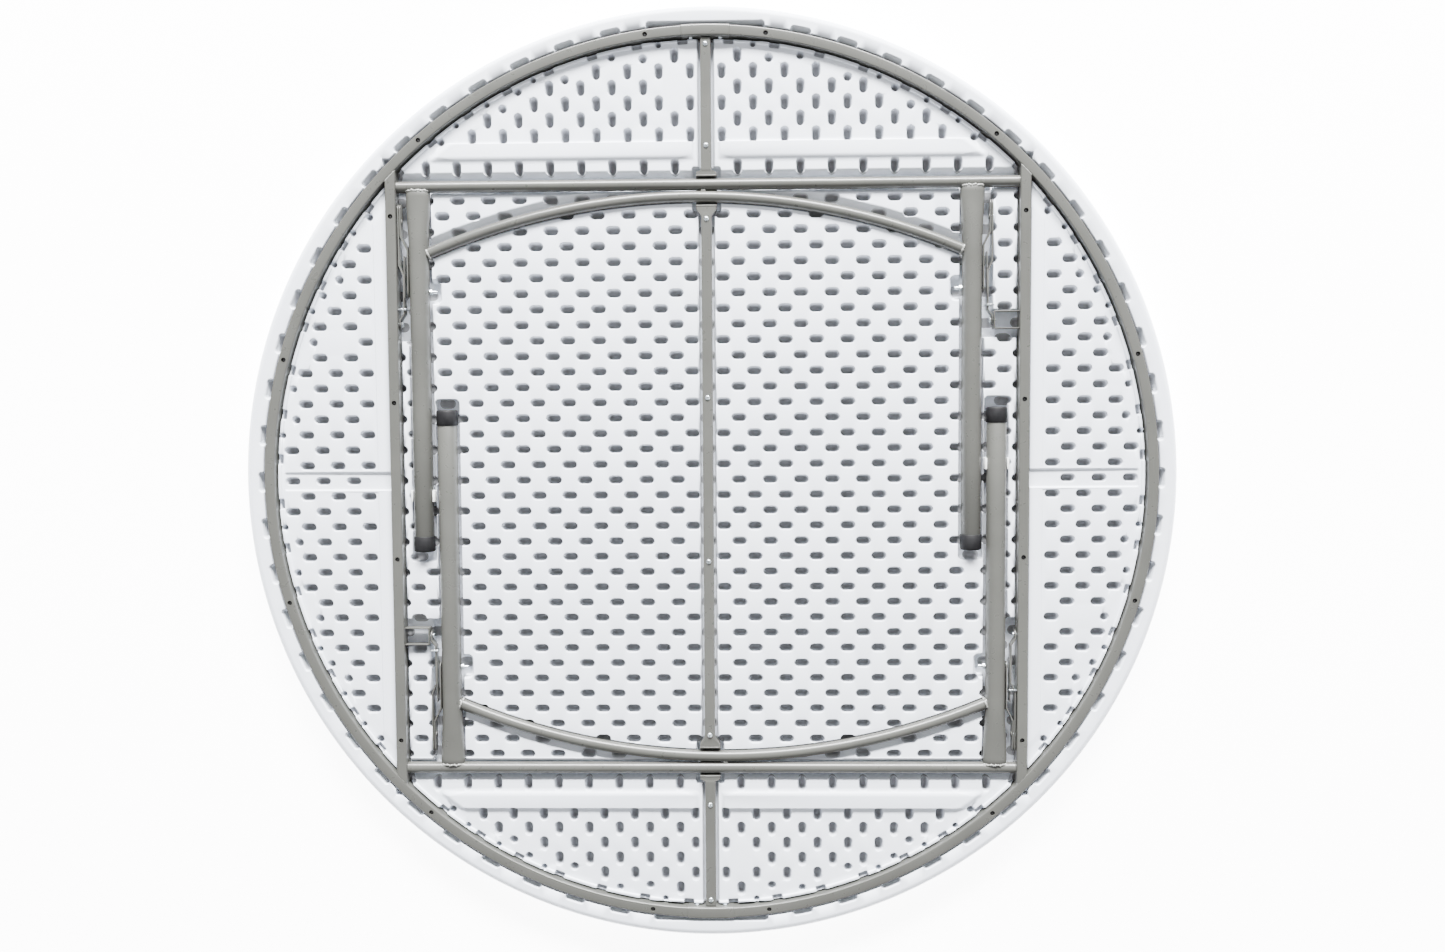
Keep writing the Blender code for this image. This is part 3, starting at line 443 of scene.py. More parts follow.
def arch_cut(sign):
    """The soft channel that a folded arch lies in."""
    outer, inner, outer_wall, inner_wall = 0.029, 0.0135, 0.014, 0.0035
    centre = (sign * ARCH_CENTRE_X, sign * (PIVOT_Y - ARCH_APEX - ARCH_BEND))
    reach = asin(ARCH_HALF_SPAN / ARCH_BEND)

    def share(x, y):
        dx, dy = (x - centre[0]) * sign, (y - centre[1]) * sign
        off = np.hypot(dx, dy) - ARCH_BEND
        t = np.minimum((outer - off) / outer_wall, (off + inner) / inner_wall)
        return np.where((np.abs(np.arctan2(dx, dy)) < reach) & (dy > 0), t, 0.0)

    loops = []
    for inset in CONTOURS:
        loop = []
        for off, order in ((outer - outer_wall * inset, 1), (-inner + inner_wall * inset, -1)):
            for k in range(65):
                a = order * reach * (k / 32 - 1)
                r = ARCH_BEND + off
                loop.append((centre[0] + sign * r * sin(a), centre[1] + sign * r * cos(a)))
        loops.append(loop)
    return share, PIVOT_Z - ARCH_RADIUS - 0.0015, loops


def channel_cuts():
    """Everything straight that is sunk into the underside."""
    room = LEG_RADIUS + 0.006
    past_foot = PIVOT_Y - LEG_LENGTH - 0.022
    brace_low = ANCHOR_Y - 2 * BRACKET_HALF
    brace_high = ANCHOR_Y + BRACKET_HALF + 0.0045
    bolt_y = PIVOT_Y - LEG_BOLT_DISTANCE
    rail_inner = RAIL_X - TUBE_WIDTH / 2
    high = PIVOT_Y
    spans = (
        (-LEG_OUTER_X - room, -LEG_OUTER_X + room, past_foot, high, CHANNEL_Z),
        (LEG_INNER_X - room, LEG_INNER_X + room, past_foot, high, CHANNEL_Z),
        (-rail_inner - 0.012, -LEG_OUTER_X - 0.014, brace_low, high, BRACE_CHANNEL_Z),
        (LEG_INNER_X + 0.014, LEG_INNER_X + LEG_RADIUS + 0.0235, brace_low, high, BRACE_CHANNEL_Z),
        (LEG_INNER_X + 0.014, rail_inner + 0.012, brace_low, brace_high, CHANNEL_Z),
    )
    bolt_spans = (
        (-LEG_OUTER_X, -LEG_OUTER_X + 0.0445, bolt_y - 0.026, bolt_y + 0.026),
        (LEG_INNER_X - 0.0445, LEG_INNER_X, bolt_y - 0.026, bolt_y + 0.026),
    )
    cuts = []
    groove = TUBE_WIDTH / 2 + 0.0045
    for sign in (1, -1):
        for x0, x1, y0, y1, z in spans:
            cuts.append(box_cut((sign * x0, sign * y0), (sign * x1, sign * y1), z))
        for x0, x1, y0, y1 in bolt_spans:
            cuts.append(box_cut((sign * x0, sign * y0), (sign * x1, sign * y1), CHANNEL_Z, 0.013, 0.010))
        rail_end = sqrt(GROOVE_OUTER**2 - RAIL_X**2)
        x = sign * RAIL_X
        cuts.append(box_cut((x - groove, -rail_end), (x + groove, rail_end), GROOVE_Z, 0.003, 0.003))
        y0, y1 = sign * (PIVOT_Y - 0.019), sign * (PIVOT_Y + 0.029)
        cuts.append(box_cut((-rail_inner - 0.01, y0), (rail_inner + 0.01, y1), CHANNEL_Z, 0.015, 0.014))
        y0, y1 = sign * (SADDLE_NEAR - 0.018), sign * (SADDLE_FAR + 0.018)
        cuts.append(box_cut((-0.029, y0), (0.029, y1), CHANNEL_Z, 0.006, 0.004))
        cuts.append(box_cut((sign * 0.612, -0.0195), (sign * 0.830, 0.0195), LAND_Z - 0.003, 0.006, 0.005))
    beam_end = GROOVE_OUTER - 0.004
    beam_half = 0.0175
    cuts.append(box_cut((-beam_half, -beam_end), (beam_half, beam_end), 0.0226, 0.003, 0.005))
    return cuts


def dimple_at(x, y, upright):
    """(x, y, half length, half width, upright) of one dimple, rounder and nearer in beside the ring."""
    along, across = (y, x) if upright else (x, y)
    tip = hypot(abs(along) + DIMPLE_HALF_LENGTH, across)
    reach = next(limit for side, limit in DIMPLE_REACH if abs(across) < side)
    if tip < reach:
        return x, y, DIMPLE_HALF_LENGTH, DIMPLE_HALF_WIDTH, upright
    r = hypot(x, y)
    for limit, seat, radius in ((0.829, 0.812, 0.0098), (0.839, 0.827, 0.0088), (0.867, 0.8345, 0.0068)):
        if r < limit:
            moved = sqrt(seat**2 - across**2) * (1 if along > 0 else -1)
            place = (across, moved) if upright else (moved, across)
            turn = atan2(place[0], place[1]) / (2 * pi / RIM_STEPS) - 0.5
            beside_pocket = abs(turn - round(turn)) < 0.32
            return None if beside_pocket and limit > 0.85 else (*place, radius, radius, upright)
    return None


def dimples():
    """Every dimple: a staggered lattice in the middle, at the two sides and at the two ends."""
    found = []
    for m in range(-30, 31):
        y = m * PITCH_Y
        for k in range(-30, 31):
            x = k * PITCH_X
            if abs(m) <= 18 and abs(k) <= 20 and (k + m) % 2 == 0:
                found.append((x, y, DIMPLE_HALF_LENGTH, DIMPLE_HALF_WIDTH, False))
            end_row = abs(m) == 20 and k % 2 == 0 and 1 < abs(k) <= 18
            if end_row or (abs(m) >= 22 and (k + m) % 2):
                found.append(dimple_at(x, y, True))
            if 0 <= k <= 7 and (k + m) % 2 and abs(m) <= 17:
                for sign in (1, -1):
                    found.append(dimple_at(sign * (SIDE_COLUMN_X + k * PITCH_X), y, False))
    found = [d for d in found if d]
    skipped = [(-2 * PITCH_X, 25 * PITCH_Y), (2 * PITCH_X, -25 * PITCH_Y)]
    skipped += [(-SIDE_COLUMN_X - 2 * PITCH_X, 9 * PITCH_Y), (SIDE_COLUMN_X + 2 * PITCH_X, -9 * PITCH_Y)]
    kept = []
    for d in sorted(found, key=lambda d: -d[2]):
        near = [hypot(d[0] - o[0], d[1] - o[1]) for o in kept]
        if near and min(near) < 0.0245:
            continue
        if min(hypot(d[0] - x, d[1] - y) for x, y in skipped) > 0.01:
            kept.append(d)
    return kept


def dimple_loops(dimple):
    x, y, long_half, short_half, upright = dimple
    for share in CONTOURS:
        inset = DIMPLE_WALL * share * short_half / DIMPLE_HALF_WIDTH
        corner = short_half - inset
        flat = rounded_section(long_half * 2 - 2 * inset, short_half * 2 - 2 * inset, corner * 0.9999, 3)
        yield [(x + b, y + a) if upright else (x + a, y + b) for a, b in flat]


class Underside:
    """The underside's height over each point, and the lines its mesh follows."""

    def __init__(self):
        self.cuts = channel_cuts() + [ring_groove(), arch_cut(1), arch_cut(-1)]
        sleeve = {RIM_STEPS - 1, 0, 1, 29, 30, 31}
        self.cuts.append(polar_pockets(0.8675, 0.0092, 0.0215, 0.0, 0.0210, 0.0088, 0.0070, sleeve))
        self.cuts.append(polar_pockets(0.8362, 0.0062, 0.0115, 0.5, 0.024, 0.0045, 0.0035, set()))
        self.cuts.append(polar_pockets(0.8575, 0.0200, 0.1130, 0.0, 0.0188, 0.0090, 0.0050, (), 2))
        self.dimples = np.array([(*d[:4], float(d[4])) for d in dimples()])
        self.tree = KDTree(len(self.dimples))
        for number, d in enumerate(self.dimples):
            self.tree.insert((d[0], d[1], 0), number)
        self.tree.balance()
        self.pockets = self.cuts[-3:]

    def nearest(self, x, y):
        return np.array([self.tree.find((a, b, 0))[1] for a, b in zip(x, y)])

    def height(self, x, y, nearest):
        base = base_height(x, y)
        z = base.copy()
        for share, floor, _ in self.cuts:
            z = np.minimum(z, base - (base - floor) * soft(share(x, y)))
        d = self.dimples[nearest]
        dx, dy = np.abs(x - d[:, 0]), np.abs(y - d[:, 1])
        along = np.where(d[:, 4] > 0, dy, dx)
        across = np.where(d[:, 4] > 0, dx, dy)
        reach = np.hypot(np.maximum(along - (d[:, 2] - d[:, 3]), 0), across)
        wall = DIMPLE_WALL * d[:, 3] / DIMPLE_HALF_WIDTH
        floor = np.where(d[:, 2] > d[:, 3] + 1e-6, DIMPLE_FLOOR_Z, DIMPLE_FLOOR_Z + 0.004)
        z_dimple = base - (base - floor) * soft((d[:, 3] - reach) / wall)
        return np.minimum(z, np.where(np.hypot(x, y) < GROOVE_INNER, z_dimple, z))

    def painted_shade_places(self, x, y):
        """Whether each point lies in a dimple, in a pocket by the ring or in the ring's groove, where
        painted recess shade goes.
        """
        d = self.dimples[self.nearest(x, y)]
        dx, dy = np.abs(x - d[:, 0]), np.abs(y - d[:, 1])
        along = np.where(d[:, 4] > 0, dy, dx)
        across = np.where(d[:, 4] > 0, dx, dy)
        painted_shade_mask = np.hypot(np.maximum(along - (d[:, 2] - d[:, 3]), 0), across) < d[:, 3]
        for share, _, _ in self.pockets:
            painted_shade_mask |= share(x, y) > 0
        return painted_shade_mask | (np.abs(np.hypot(x, y) - RING_RADIUS) < (GROOVE_OUTER - GROOVE_INNER) / 2)

    def lines(self):
        """Closed loops of points that the mesh's edges follow."""
        loops = [loop for _, _, several in self.cuts for loop in several]
        for d in self.dimples:
            loops.extend(dimple_loops(d))
        for r in (0.806, 0.814, 0.822, 0.8325, 0.8338, 0.8350):
            loops.append(circle(r, 300))
        for angle in (0, 20, 40, 60):
            loops.append(circle(PANEL_RADIUS - LIP_ROUND + LIP_ROUND * sin(radians(angle)), 360))
        for sign in (1, -1):
            for side in (1, -1):
                rows = [RIB_SOUTH_Y - 0.014 * (1 - s) for s in CONTOURS]
                rows += [RIB_NORTH_Y + 0.0035 * s for s in CONTOURS]
                for y in rows:
                    loops.append([(side * x, sign * y) for x in (0.020, 0.026, 0.56)])
                columns = [BAND_INNER_X + 0.003 * s for s in (0, 0.5, 1)]
                columns += [BAND_OUTER_X - 0.003 * s for s in (1, 0.5, 0)]
                for x in columns:
                    loops.append([(side * x, sign * y) for y in (0.022, 0.535, 0.55)])
        return loops


def make_underside_mesh():
    """The moulded top as one closed mesh with its own normals."""
    shape = Underside()
    points, edges = [], []
    for loop in shape.lines():
        first = len(points)
        points.extend(loop)
        count = len(loop)
        closed = count > 3
        for k in range(count if closed else count - 1):
            edges.append((first + k, first + (k + 1) % count))
    outline = circle(PANEL_RADIUS - LIP_ROUND + LIP_ROUND * sin(radians(80)), 360)
    first = len(points)
    points.extend(outline)
    edges += [(first + k, first + (k + 1) % 360) for k in range(360)]
    flat, _, faces, origins, _, _ = delaunay_2d_cdt([Vector(p) for p in points], edges, [], 0, 2e-5, True)
    x = np.array([p[0] for p in flat])
    y = np.array([p[1] for p in flat])
    place = {}
    for number, came_from in enumerate(origins):
        for old in came_from:
            if old >= first:
                place[old - first] = number
    nearest = shape.nearest(x, y)
    z = shape.height(x, y, nearest)
    step = 0.00025
    slope_x = (shape.height(x + step, y, nearest) - shape.height(x - step, y, nearest)) / (2 * step)
    slope_y = (shape.height(x, y + step, nearest) - shape.height(x, y - step, nearest)) / (2 * step)
    normals = [Vector((-a, -b, 1)).normalized() for a, b in zip(slope_x, slope_y)]

    verts = [(a, b, c) for a, b, c in zip(x, y, z)]
    polygons = [tuple(face) for face in faces]
    rim = [place[k] for k in range(360)]
    for number, (a, b) in zip(rim, circle(1.0, 360)):
        normals[number] = Vector((a * sin(radians(80)), b * sin(radians(80)), cos(radians(80))))
    profile = [(PANEL_RADIUS, RIM_Z - LIP_ROUND, 0.0), (PANEL_RADIUS, EDGE_ROUND, 0.0)]
    for angle in (22.5, 45, 67.5, 90):
        a = radians(angle)
        r = PANEL_RADIUS - EDGE_ROUND + EDGE_ROUND * cos(a)
        profile.append((r, EDGE_ROUND - EDGE_ROUND * sin(a), -angle))
    for r in (0.75, 0.5, 0.25):
        profile.append((r, 0.0, -90))
    last = rim
    for r, height, tilt in profile:
        t = radians(tilt)
        loop = []
        for a, b in circle(1.0, 360):
            loop.append(len(verts))
            verts.append((r * a, r * b, height))
            normals.append(Vector((a * cos(t), b * cos(t), sin(t))))
        for k in range(360):
            n = (k + 1) % 360
            polygons.append((last[k], loop[k], loop[n], last[n]))
        last = loop
    middle = len(verts)
    verts.append((0, 0, 0))
    normals.append(Vector((0, 0, -1)))
    polygons += [(last[k], middle, last[(k + 1) % 360]) for k in range(360)]

    mesh = bpy.data.meshes.new("top_moulding")
    mesh.from_pydata(verts, [], polygons)
    bm = bmesh.new()
    bm.from_mesh(mesh)
    bmesh.ops.recalc_face_normals(bm, faces=bm.faces)
    bm.to_mesh(mesh)
    bm.free()
    mesh.shade_smooth()
    mesh.normals_split_custom_set_from_vertices(normals)
    centres = np.array([polygon.center for polygon in mesh.polygons])
    # Faces in recesses, above the rounded face edge, get the painted recess shade.
    painted_shade_mask = shape.painted_shade_places(centres[:, 0], centres[:, 1]) & (centres[:, 2] > EDGE_ROUND)
    return mesh, painted_shade_mask


def make_top():
    mesh, painted_shade_mask = make_underside_mesh()
    add_piece("top_moulding", mesh, "plastic", "top", ("tabletop_panel",))
    # The second material paints shade into the recesses.
    mesh.materials.append(PAINTS["thin"])
    mesh.polygons.foreach_set("material_index", painted_shade_mask.astype(np.int32))


# ---- ring, rails, beam ----


def drill(piece, places, radius, depth):
    """Round holes down into a piece from its top; the cutters are gone afterwards."""
    bm = bmesh.new()
    for x, y in places:
        length = depth + 0.01
        profile = [(0, 0), (radius, 0), (radius, length), (0, length)]
        part = turned(profile, 20, (x, y, 0.055), (0, 0, -1))
        data = bpy.data.meshes.new("cutter")
        part.to_mesh(data)
        part.free()
        bm.from_mesh(data)
        bpy.data.meshes.remove(data)
    bmesh.ops.remove_doubles(bm, verts=bm.verts, dist=1e-5)
    bmesh.ops.recalc_face_normals(bm, faces=bm.faces)
    data = bpy.data.meshes.new("cutters")
    bm.to_mesh(data)
    bm.free()
    cutter = bpy.data.objects.new("cutters", data)
    bpy.context.scene.collection.objects.link(cutter)
    modifier = piece.modifiers.new("holes", "BOOLEAN")
    modifier.object = cutter
    bpy.context.view_layer.update()
    solid = piece.evaluated_get(bpy.context.evaluated_depsgraph_get())
    mesh = bpy.data.meshes.new_from_object(solid)
    piece.modifiers.clear()
    piece.data = mesh
    mesh.shade_smooth()
    mesh.set_sharp_from_angle(angle=radians(38))
    bpy.data.objects.remove(cutter)


def curved_loops(radius, width, height, corner, z, angles):
    section = rounded_section(width, height, corner)
    return [[((radius + a) * cos(t), (radius + a) * sin(t), z + b) for a, b in section] for t in angles]


def ring_hole_places(side):
    places = []
    for a in RING_HOLE_ANGLES:
        for s in (1, -1):
            t = s * radians(90 - a)
            places.append((side * RING_RADIUS * cos(t), RING_RADIUS * sin(t)))
    return places


def access_screw(name, x, y):
    """A black round-headed screw at the bottom of an access hole."""
    profile = [(0, 0.0032), (0.0016, 0.0032), (0.0036, 0.0021)]
    profile += [(0.0042, 0.0006), (0.0042, 0), (0, 0)]
    head = turned(profile, 20, (x, y, TUBE_TOP_Z - 0.0056), (0, 0, 1))
    add_piece(name, head, "black", "top", sharp=40)


def make_ring():
    gap = 0.001 / RING_RADIUS
    for side, sign, first in (("right", 1, -pi / 2), ("left", -1, pi / 2)):
        angles = [first + gap + (pi - 2 * gap) * k / 120 for k in range(121)]
        loops = curved_loops(RING_RADIUS, TUBE_WIDTH, TUBE_HEIGHT, TUBE_ROUND, PIVOT_Z, angles)
        name = f"ring_{side}"
        ring = add_piece(name, skin(loops), "paint", "top", (f"ring_half_{side}",), sharp=40)
        drill(ring, ring_hole_places(sign), ACCESS_HOLE_RADIUS, 0.006)
        for number, (x, y) in enumerate(ring_hole_places(sign)):
            access_screw(f"ring_screw_{side}_{number}", x, y)
    half = SLEEVE_LENGTH / 2 / RING_RADIUS
    for end, middle in (("a", pi / 2), ("b", -pi / 2)):
        loops = []
        for share, trim in ((-1, 0.0006), (-0.99, 0), (-0.5, 0), (0, 0), (0.5, 0), (0.99, 0), (1, 0.0006)):
            grow = 2 * (SLEEVE_WALL - trim)
            loops += curved_loops(
                RING_RADIUS, TUBE_WIDTH + grow, TUBE_HEIGHT + grow, TUBE_ROUND + SLEEVE_WALL, PIVOT_Z,
                [middle + half * share],
            )
        add_piece(f"sleeve_{end}", skin(loops), "paint", "top", (f"ring_sleeve_{end}",), sharp=40)
        for number, share in enumerate((-0.62, 0.62)):
            a = middle + half * share
            wall = SLEEVE_INNER_Y
            place = (wall * cos(a), wall * sin(a), PIVOT_Z + 0.004)
            profile = [(0, 0.0030), (0.0020, 0.0028), (0.0036, 0.0018)]
            profile += [(0.0040, 0.0004), (0.0040, -0.002), (0, -0.002)]
            screw = turned(profile, 20, place, (-cos(a), -sin(a), 0))
            add_piece(f"sleeve_screw_{end}_{number}", screw, "zinc", "top", sharp=40)


def bead(path, radius, seed, lumps=0.35):
    """A weld bead: a lumpy tube along a path of points."""
    loops = []
    count = len(path)
    for k, here in enumerate(path):
        before, after = path[max(k - 1, 0)], path[min(k + 1, count - 1)]
        along = (Vector(after) - Vector(before)).normalized()
        side = along.orthogonal().normalized()
        up = along.cross(side)
        size = radius * (1 + lumps * sin(k * 2.4 + seed) * cos(k * 0.7 + 2 * seed))
        size *= smooth_share(min(k, count - 1 - k) / 2 + 0.3)
        loops.append([Vector(here) + side * a + up * b for a, b in circle(size, 8)])
    return skin(loops)


def make_rails():
    inner_ring = RING_RADIUS - TUBE_WIDTH / 2
    section = rounded_section(TUBE_WIDTH, TUBE_HEIGHT, TUBE_ROUND)
    for side, sign in (("right", 1), ("left", -1)):
        loops = []
        for share in (-1, -0.6, -0.2, 0.2, 0.6, 1):
            loop = []
            for a, b in section:
                x = sign * RAIL_X + a
                loop.append((x, share * (sqrt(inner_ring**2 - x**2) - 0.0003), PIVOT_Z + b))
            loops.append(loop)
        rail = add_piece(f"rail_{side}", skin(loops), "paint", "top", (f"side_rail_{side}",), sharp=40)
        places = [(sign * RAIL_X, s * y) for y in RAIL_HOLE_YS for s in (1, -1)]
        drill(rail, places, ACCESS_HOLE_RADIUS, 0.006)
        for number, (x, y) in enumerate(places):
            access_screw(f"rail_screw_{side}_{number}", x, y)
        for end, up in (("a", 1), ("b", -1)):
            path = []
            for k in range(11):
                x = sign * (RAIL_X + (k / 10 - 0.5) * TUBE_WIDTH)
                path.append((x, up * (sqrt(inner_ring**2 - x**2) - 0.0004), TUBE_TOP_Z - 0.0016))
            add_piece(f"rail_weld_{side}_{end}", bead(path, 0.0014, sign + up), "weld", "top", sharp=60)


def pan_head(name, x, y, z):
    """A zinc pan-head screw seen from above, with a cross recess."""
    profile = [(0, 0.0014), (0.0009, 0.0015), (0.0014, 0.0029), (0.0028, 0.0026)]
    profile += [(0.0042, 0.0016), (0.0049, 0.0003), (0.0049, -0.003), (0, -0.003)]
    head = turned(profile, 24, (x, y, z), (0, 0, 1))
    for v in head.verts:
        near = hypot(v.co.x - x, v.co.y - y)
        if 0.0005 < near < 0.0035 and v.co.z > z + 0.001:
            spoke = abs(cos(2 * atan2(v.co.y - y, v.co.x - x)))
            v.co.z -= 0.0012 * (spoke > 0.9)
    add_piece(name, head, "zinc", "top", sharp=50)


def beam_piece(name, low, high, taper_low, taper_high, node):
    """A stretch of the beam; where it meets a saddle its end is pressed wider, over a taper's length."""
    loops = []
    length = high - low
    shares = (0, 0.1, 0.25, 0.4, 0.55, 0.7, 0.85, 1)
    places = []
    for taper, from_low in ((taper_low, True), (taper_high, False)):
        ends = [(0, 0), (0.02, 0)]
        if taper:
            reach = taper + 0.006
            ends = [(s * reach, 1 - smooth_share((s * reach - 0.004) / taper)) for s in shares]
        places += ends if from_low else [(length - s, flare) for s, flare in ends[::-1]]
    for s, flare in places:
        width = BEAM_WIDTH + 0.019 * flare
        top = BEAM_TOP_Z - 0.0018 * flare
        section = rounded_section(width, top - BEAM_BOTTOM_Z, 0.0025)
        middle = (top + BEAM_BOTTOM_Z) / 2
        loops.append([(a, low + s, middle + b) for a, b in section])
    add_piece(name, skin(loops), "paint", "top", (node,), sharp=40)


def make_beams():
    near = SADDLE_NEAR - 0.0004
    far = SADDLE_FAR + 0.0004
    end = SLEEVE_INNER_Y - 0.0020
    short_taper, long_taper = 0.005, 0.016
    beam_piece("beam_a", far, end, short_taper, 0, "centre_beam_a")
    beam_piece("beam_middle", -near, near, long_taper, long_taper, "centre_beam_middle")
    beam_piece("beam_b", -end, -far, 0, short_taper, "centre_beam_b")
    for number, y in enumerate(s * y for y in BEAM_SCREW_YS for s in (1, -1)):
        pan_head(f"beam_screw_{number}", 0, y, BEAM_TOP_Z)


def softened(name, node, paint, body, width, segments=2, sharp=35):
    """A finer copy of a CAD part: its own shape with its edges rounded."""
    bm = bmesh.new()
    bm.from_mesh(NODES[node].data)
    bmesh.ops.remove_doubles(bm, verts=bm.verts, dist=1e-5)
    bmesh.ops.dissolve_limit(bm, angle_limit=radians(1.5), verts=bm.verts, edges=bm.edges)
    edges = [e for e in bm.edges if len(e.link_faces) == 2 and e.calc_face_angle(0) > radians(28)]
    bmesh.ops.bevel(
        bm, geom=edges, offset=width, offset_type="OFFSET", segments=segments, profile=0.5,
        affect="EDGES", clamp_overlap=True, loop_slide=True,
    )
    return add_piece(name, bm, paint, body, (node,), sharp=sharp)


def make_saddles():
    for end in ("a", "b"):
        softened(f"saddle_{end}", f"pivot_saddle_{end}", "paint", "top", 0.0007)
        softened(f"bracket_{end}", f"brace_bracket_{end}", "paint", "top", 0.0005)
        softened(f"clip_{end}", f"leg_clip_{end}", "clip", "top", 0.0006)


# ---- leg frames ----


def in_frame(sign, point):
    """From a leg frame's own X, Y and height above its pivot axis to the object's."""
    return (sign * point[0], sign * (PIVOT_Y + point[1]), PIVOT_Z + point[2])


def leg_size(distance):
    blend = smooth_share((distance - LEG_START) / (LEG_TAPER_END - LEG_START))
    return (
        LEG_FLARE_HALF + (LEG_RADIUS - LEG_FLARE_HALF) * blend,
        LEG_FLAT_HALF + (LEG_RADIUS - LEG_FLAT_HALF) * blend,
    )


def leg_loop(x, distance, shrink=0.0, count=40):
    wide, high = (half - shrink for half in leg_size(distance))
    angles = (2 * pi * k / count for k in range(count))
    return [(x + wide * cos(a), -distance, high * sin(a)) for a in angles]


def make_leg(end, sign, which, x):
    body = f"leg_frame_{end}"
    distances = [(LEG_START, 0.0008), (LEG_START + 0.0010, 0)]
    distances += [(LEG_START + 0.001 + (LEG_TAPER_END - LEG_START) * k / 12, 0) for k in range(1, 13)]
    distances += [(LEG_LENGTH - 0.25, 0), (LEG_LENGTH - 0.0045, 0), (LEG_LENGTH - 0.0040, 0.0004)]
    loops = [[in_frame(sign, p) for p in leg_loop(x, d, s)] for d, s in distances]
    add_piece(f"leg_{end}_{which}_tube", skin(loops), "paint", body, (f"leg_{end}_{which}",), sharp=50)

    weld = []
    for k in range(33):
        a = pi * k / 32
        wide, high = leg_size(LEG_START)
        wobble = 0.0007 * sin(5.1 * k) + 0.0005 * sin(2.3 * k + x)
        weld.append(in_frame(sign, (x + wide * cos(a), -LEG_START + wobble, (high - 0.0008) * sin(a))))
    add_piece(f"leg_weld_{end}_{which}", bead(weld, 0.0019, x * 10, 0.45), "weld", body, sharp=70)

    foot = LEG_LENGTH
    profile = [(0, 0), (FOOT_RADIUS - 0.0035, 0), (FOOT_RADIUS - 0.0012, 0.0008), (FOOT_RADIUS, 0.003)]
    profile += [(FOOT_RADIUS, FOOT_LENGTH - 0.0010), (FOOT_RADIUS - 0.0007, FOOT_LENGTH)]
    profile += [(LEG_RADIUS + 0.0002, FOOT_LENGTH), (LEG_RADIUS + 0.0002, FOOT_LENGTH - 0.004)]
    place = in_frame(sign, (x, -foot, 0))
    cap = turned(profile, 48, place, (0, sign, 0))
    add_piece(f"foot_{end}_{which}", cap, "rubber", body, (f"foot_cap_{end}_{which}",), sharp=45)


def arch_station(share):
    """Middle and outward direction of the arch's line in the leg frame; share runs from -1 to 1."""
    a = asin((ARCH_HALF_SPAN - LEG_RADIUS * 0.55) / ARCH_BEND) * share
    middle = (ARCH_CENTRE_X + ARCH_BEND * sin(a), -ARCH_APEX - ARCH_BEND + ARCH_BEND * cos(a))
    return middle, (sin(a), cos(a))


def arch_loop(share, radius, count=28):
    (x, y), (ox, oy) = arch_station(share)
    points = []
    for k in range(count):
        b = 2 * pi * k / count
        points.append((x + ox * radius * cos(b), y + oy * radius * cos(b), radius * sin(b)))
    return points


def make_leg_frame(end, sign):
    body = f"leg_frame_{end}"
    loops = []
    for x in (-PIVOT_HALF, -PIVOT_HALF / 3, PIVOT_HALF / 3, PIVOT_HALF):
        loops.append([in_frame(sign, (x, a, b)) for a, b in circle(PIVOT_RADIUS, 32)])
    add_piece(f"pivot_bar_{end}", skin(loops), "paint", body, (f"pivot_tube_{end}",), sharp=50)
    loops = [[in_frame(sign, p) for p in arch_loop(k / 40 - 1, ARCH_RADIUS)] for k in range(81)]
    add_piece(f"arch_{end}", skin(loops), "paint", body, (f"arch_tube_{end}",), sharp=50)
    legs = {"outer": -LEG_OUTER_X, "inner": LEG_INNER_X}
    for which, x in legs.items():
        make_leg(end, sign, which, x)
        side = -1 if x < 0 else 1
        ring = [in_frame(sign, p) for p in arch_loop(side * 0.9835, ARCH_RADIUS + 0.0003)]
        path = ring + ring[:1]
        add_piece(f"arch_weld_{end}_{which}", bead(path, 0.0019, x, 0.5), "weld", body, sharp=70)
    tab_x = -0.006 if end == "a" else -0.030
    path = [in_frame(sign, (tab_x + 0.0045 * k / 6, -0.0118, 0.0035)) for k in range(-6, 7)]
    add_piece(f"arch_tack_{end}", bead(path, 0.0030, 1.0, 0.3), "weld", body, sharp=70)


# ---- folding braces ----


def make_braces():
    for label in BRACE_LABELS:
        end = label[0]
        rail_side = f"anchor_link_{label}"
        softened(f"rail_strap_{label}", rail_side, "paint", rail_side, 0.0004, sharp=40)
        softened(f"leg_strap_{label}", f"leg_link_{label}", "paint", f"leg_link_{label}", 0.0004, sharp=40)
        softened(f"rivet_{label}", f"knee_rivet_{label}", "zinc", f"anchor_link_{label}", 0.0004)
        softened(f"slide_{label}", f"lock_ring_{label}", "zinc", f"lock_ring_{label}", 0.0004)
        softened(f"pin_{label}", f"anchor_pin_{label}", "zinc", "top", 0.0005)
        softened(f"bolt_{label}", f"leg_bolt_{label}", "zinc", f"leg_frame_{end}", 0.0005)
        softened(f"nut_{label}", f"leg_nut_{label}", "zinc", f"leg_frame_{end}", 0.0005)


# ---- camera, light and floor ----


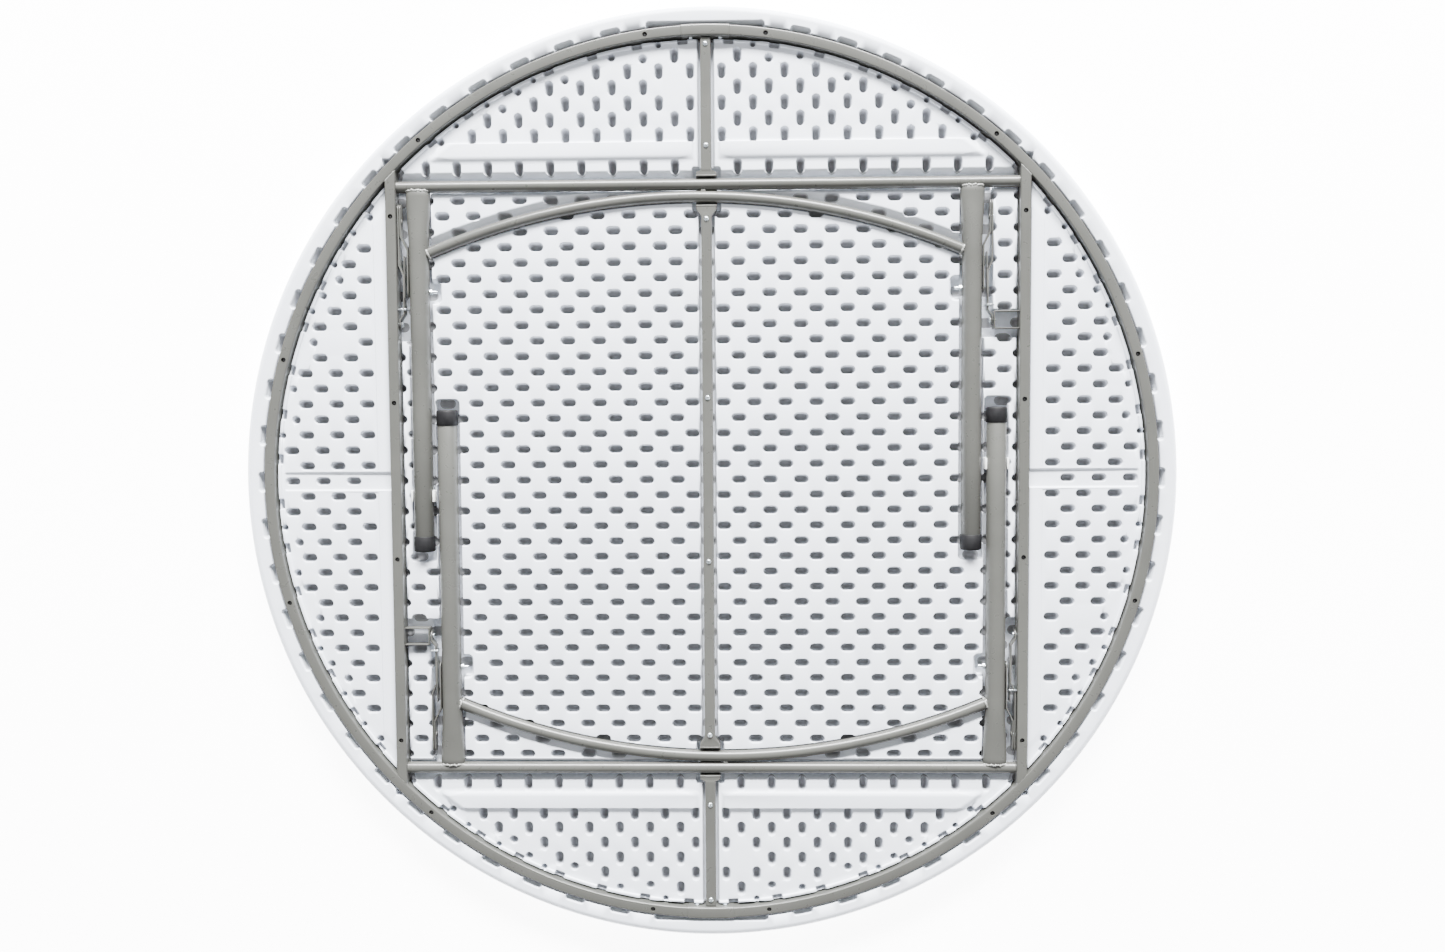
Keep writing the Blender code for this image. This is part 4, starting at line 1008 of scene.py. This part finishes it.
def make_camera():
    """A camera 2.4 m above the table, tipped a little, as the photograph was taken."""
    roll, tip, lean = 0.00628, 0.05551, -0.02290
    turns = Matrix.Rotation(roll, 3, "Z") @ Matrix.Rotation(tip, 3, "X") @ Matrix.Rotation(lean, 3, "Y")
    back = turns.transposed()
    data = bpy.data.cameras.new("camera")
    data.lens = 30.369
    data.sensor_width = 36.0
    camera = bpy.data.objects.new("camera", data)
    bpy.context.scene.collection.objects.link(camera)
    place = back @ Vector((0.02657, 0.00509, 2.4))
    camera.matrix_world = Matrix.Translation(place) @ back.to_4x4()
    bpy.context.scene.camera = camera


def area_light(name, place, aim, size, power):
    data = bpy.data.lights.new(name, "AREA")
    data.shape = "RECTANGLE"
    data.size, data.size_y = size
    data.energy = power
    lamp = bpy.data.objects.new(name, data)
    bpy.context.scene.collection.objects.link(lamp)
    lamp.location = place
    lamp.rotation_euler = (Vector(aim) - Vector(place)).to_track_quat("-Z", "Y").to_euler()


def make_studio():
    world = bpy.data.worlds.new("studio")
    bpy.context.scene.world = world
    world.use_nodes = True
    background = world.node_tree.nodes["Background"]
    background.inputs["Color"].default_value = (1.0, 1.0, 1.0, 1.0)
    background.inputs["Strength"].default_value = 0.80
    area_light("window", (0.4, 8.0, 4.2), (0, 0.1, 0), (7.5, 2.0), 8200)
    bm = bmesh.new()
    bmesh.ops.create_grid(bm, x_segments=1, y_segments=1, size=120)
    data = bpy.data.meshes.new("floor")
    bm.to_mesh(data)
    bm.free()
    floor = bpy.data.objects.new("floor", data)
    bpy.context.scene.collection.objects.link(floor)
    floor.location.z = -0.0005
    pale = principled("pale_floor", (0.95, 0.95, 0.95), 0.9, specular=0.1)
    shader = pale.node_tree.nodes["Principled BSDF"]
    shader.inputs["Emission Color"].default_value = (1.0, 1.0, 1.0, 1.0)
    shader.inputs["Emission Strength"].default_value = 9.0
    data.materials.append(pale)


make_camera()
make_studio()
make_top()
make_ring()
make_rails()
make_beams()
make_saddles()
make_leg_frame("a", 1)
make_leg_frame("b", -1)
make_braces()
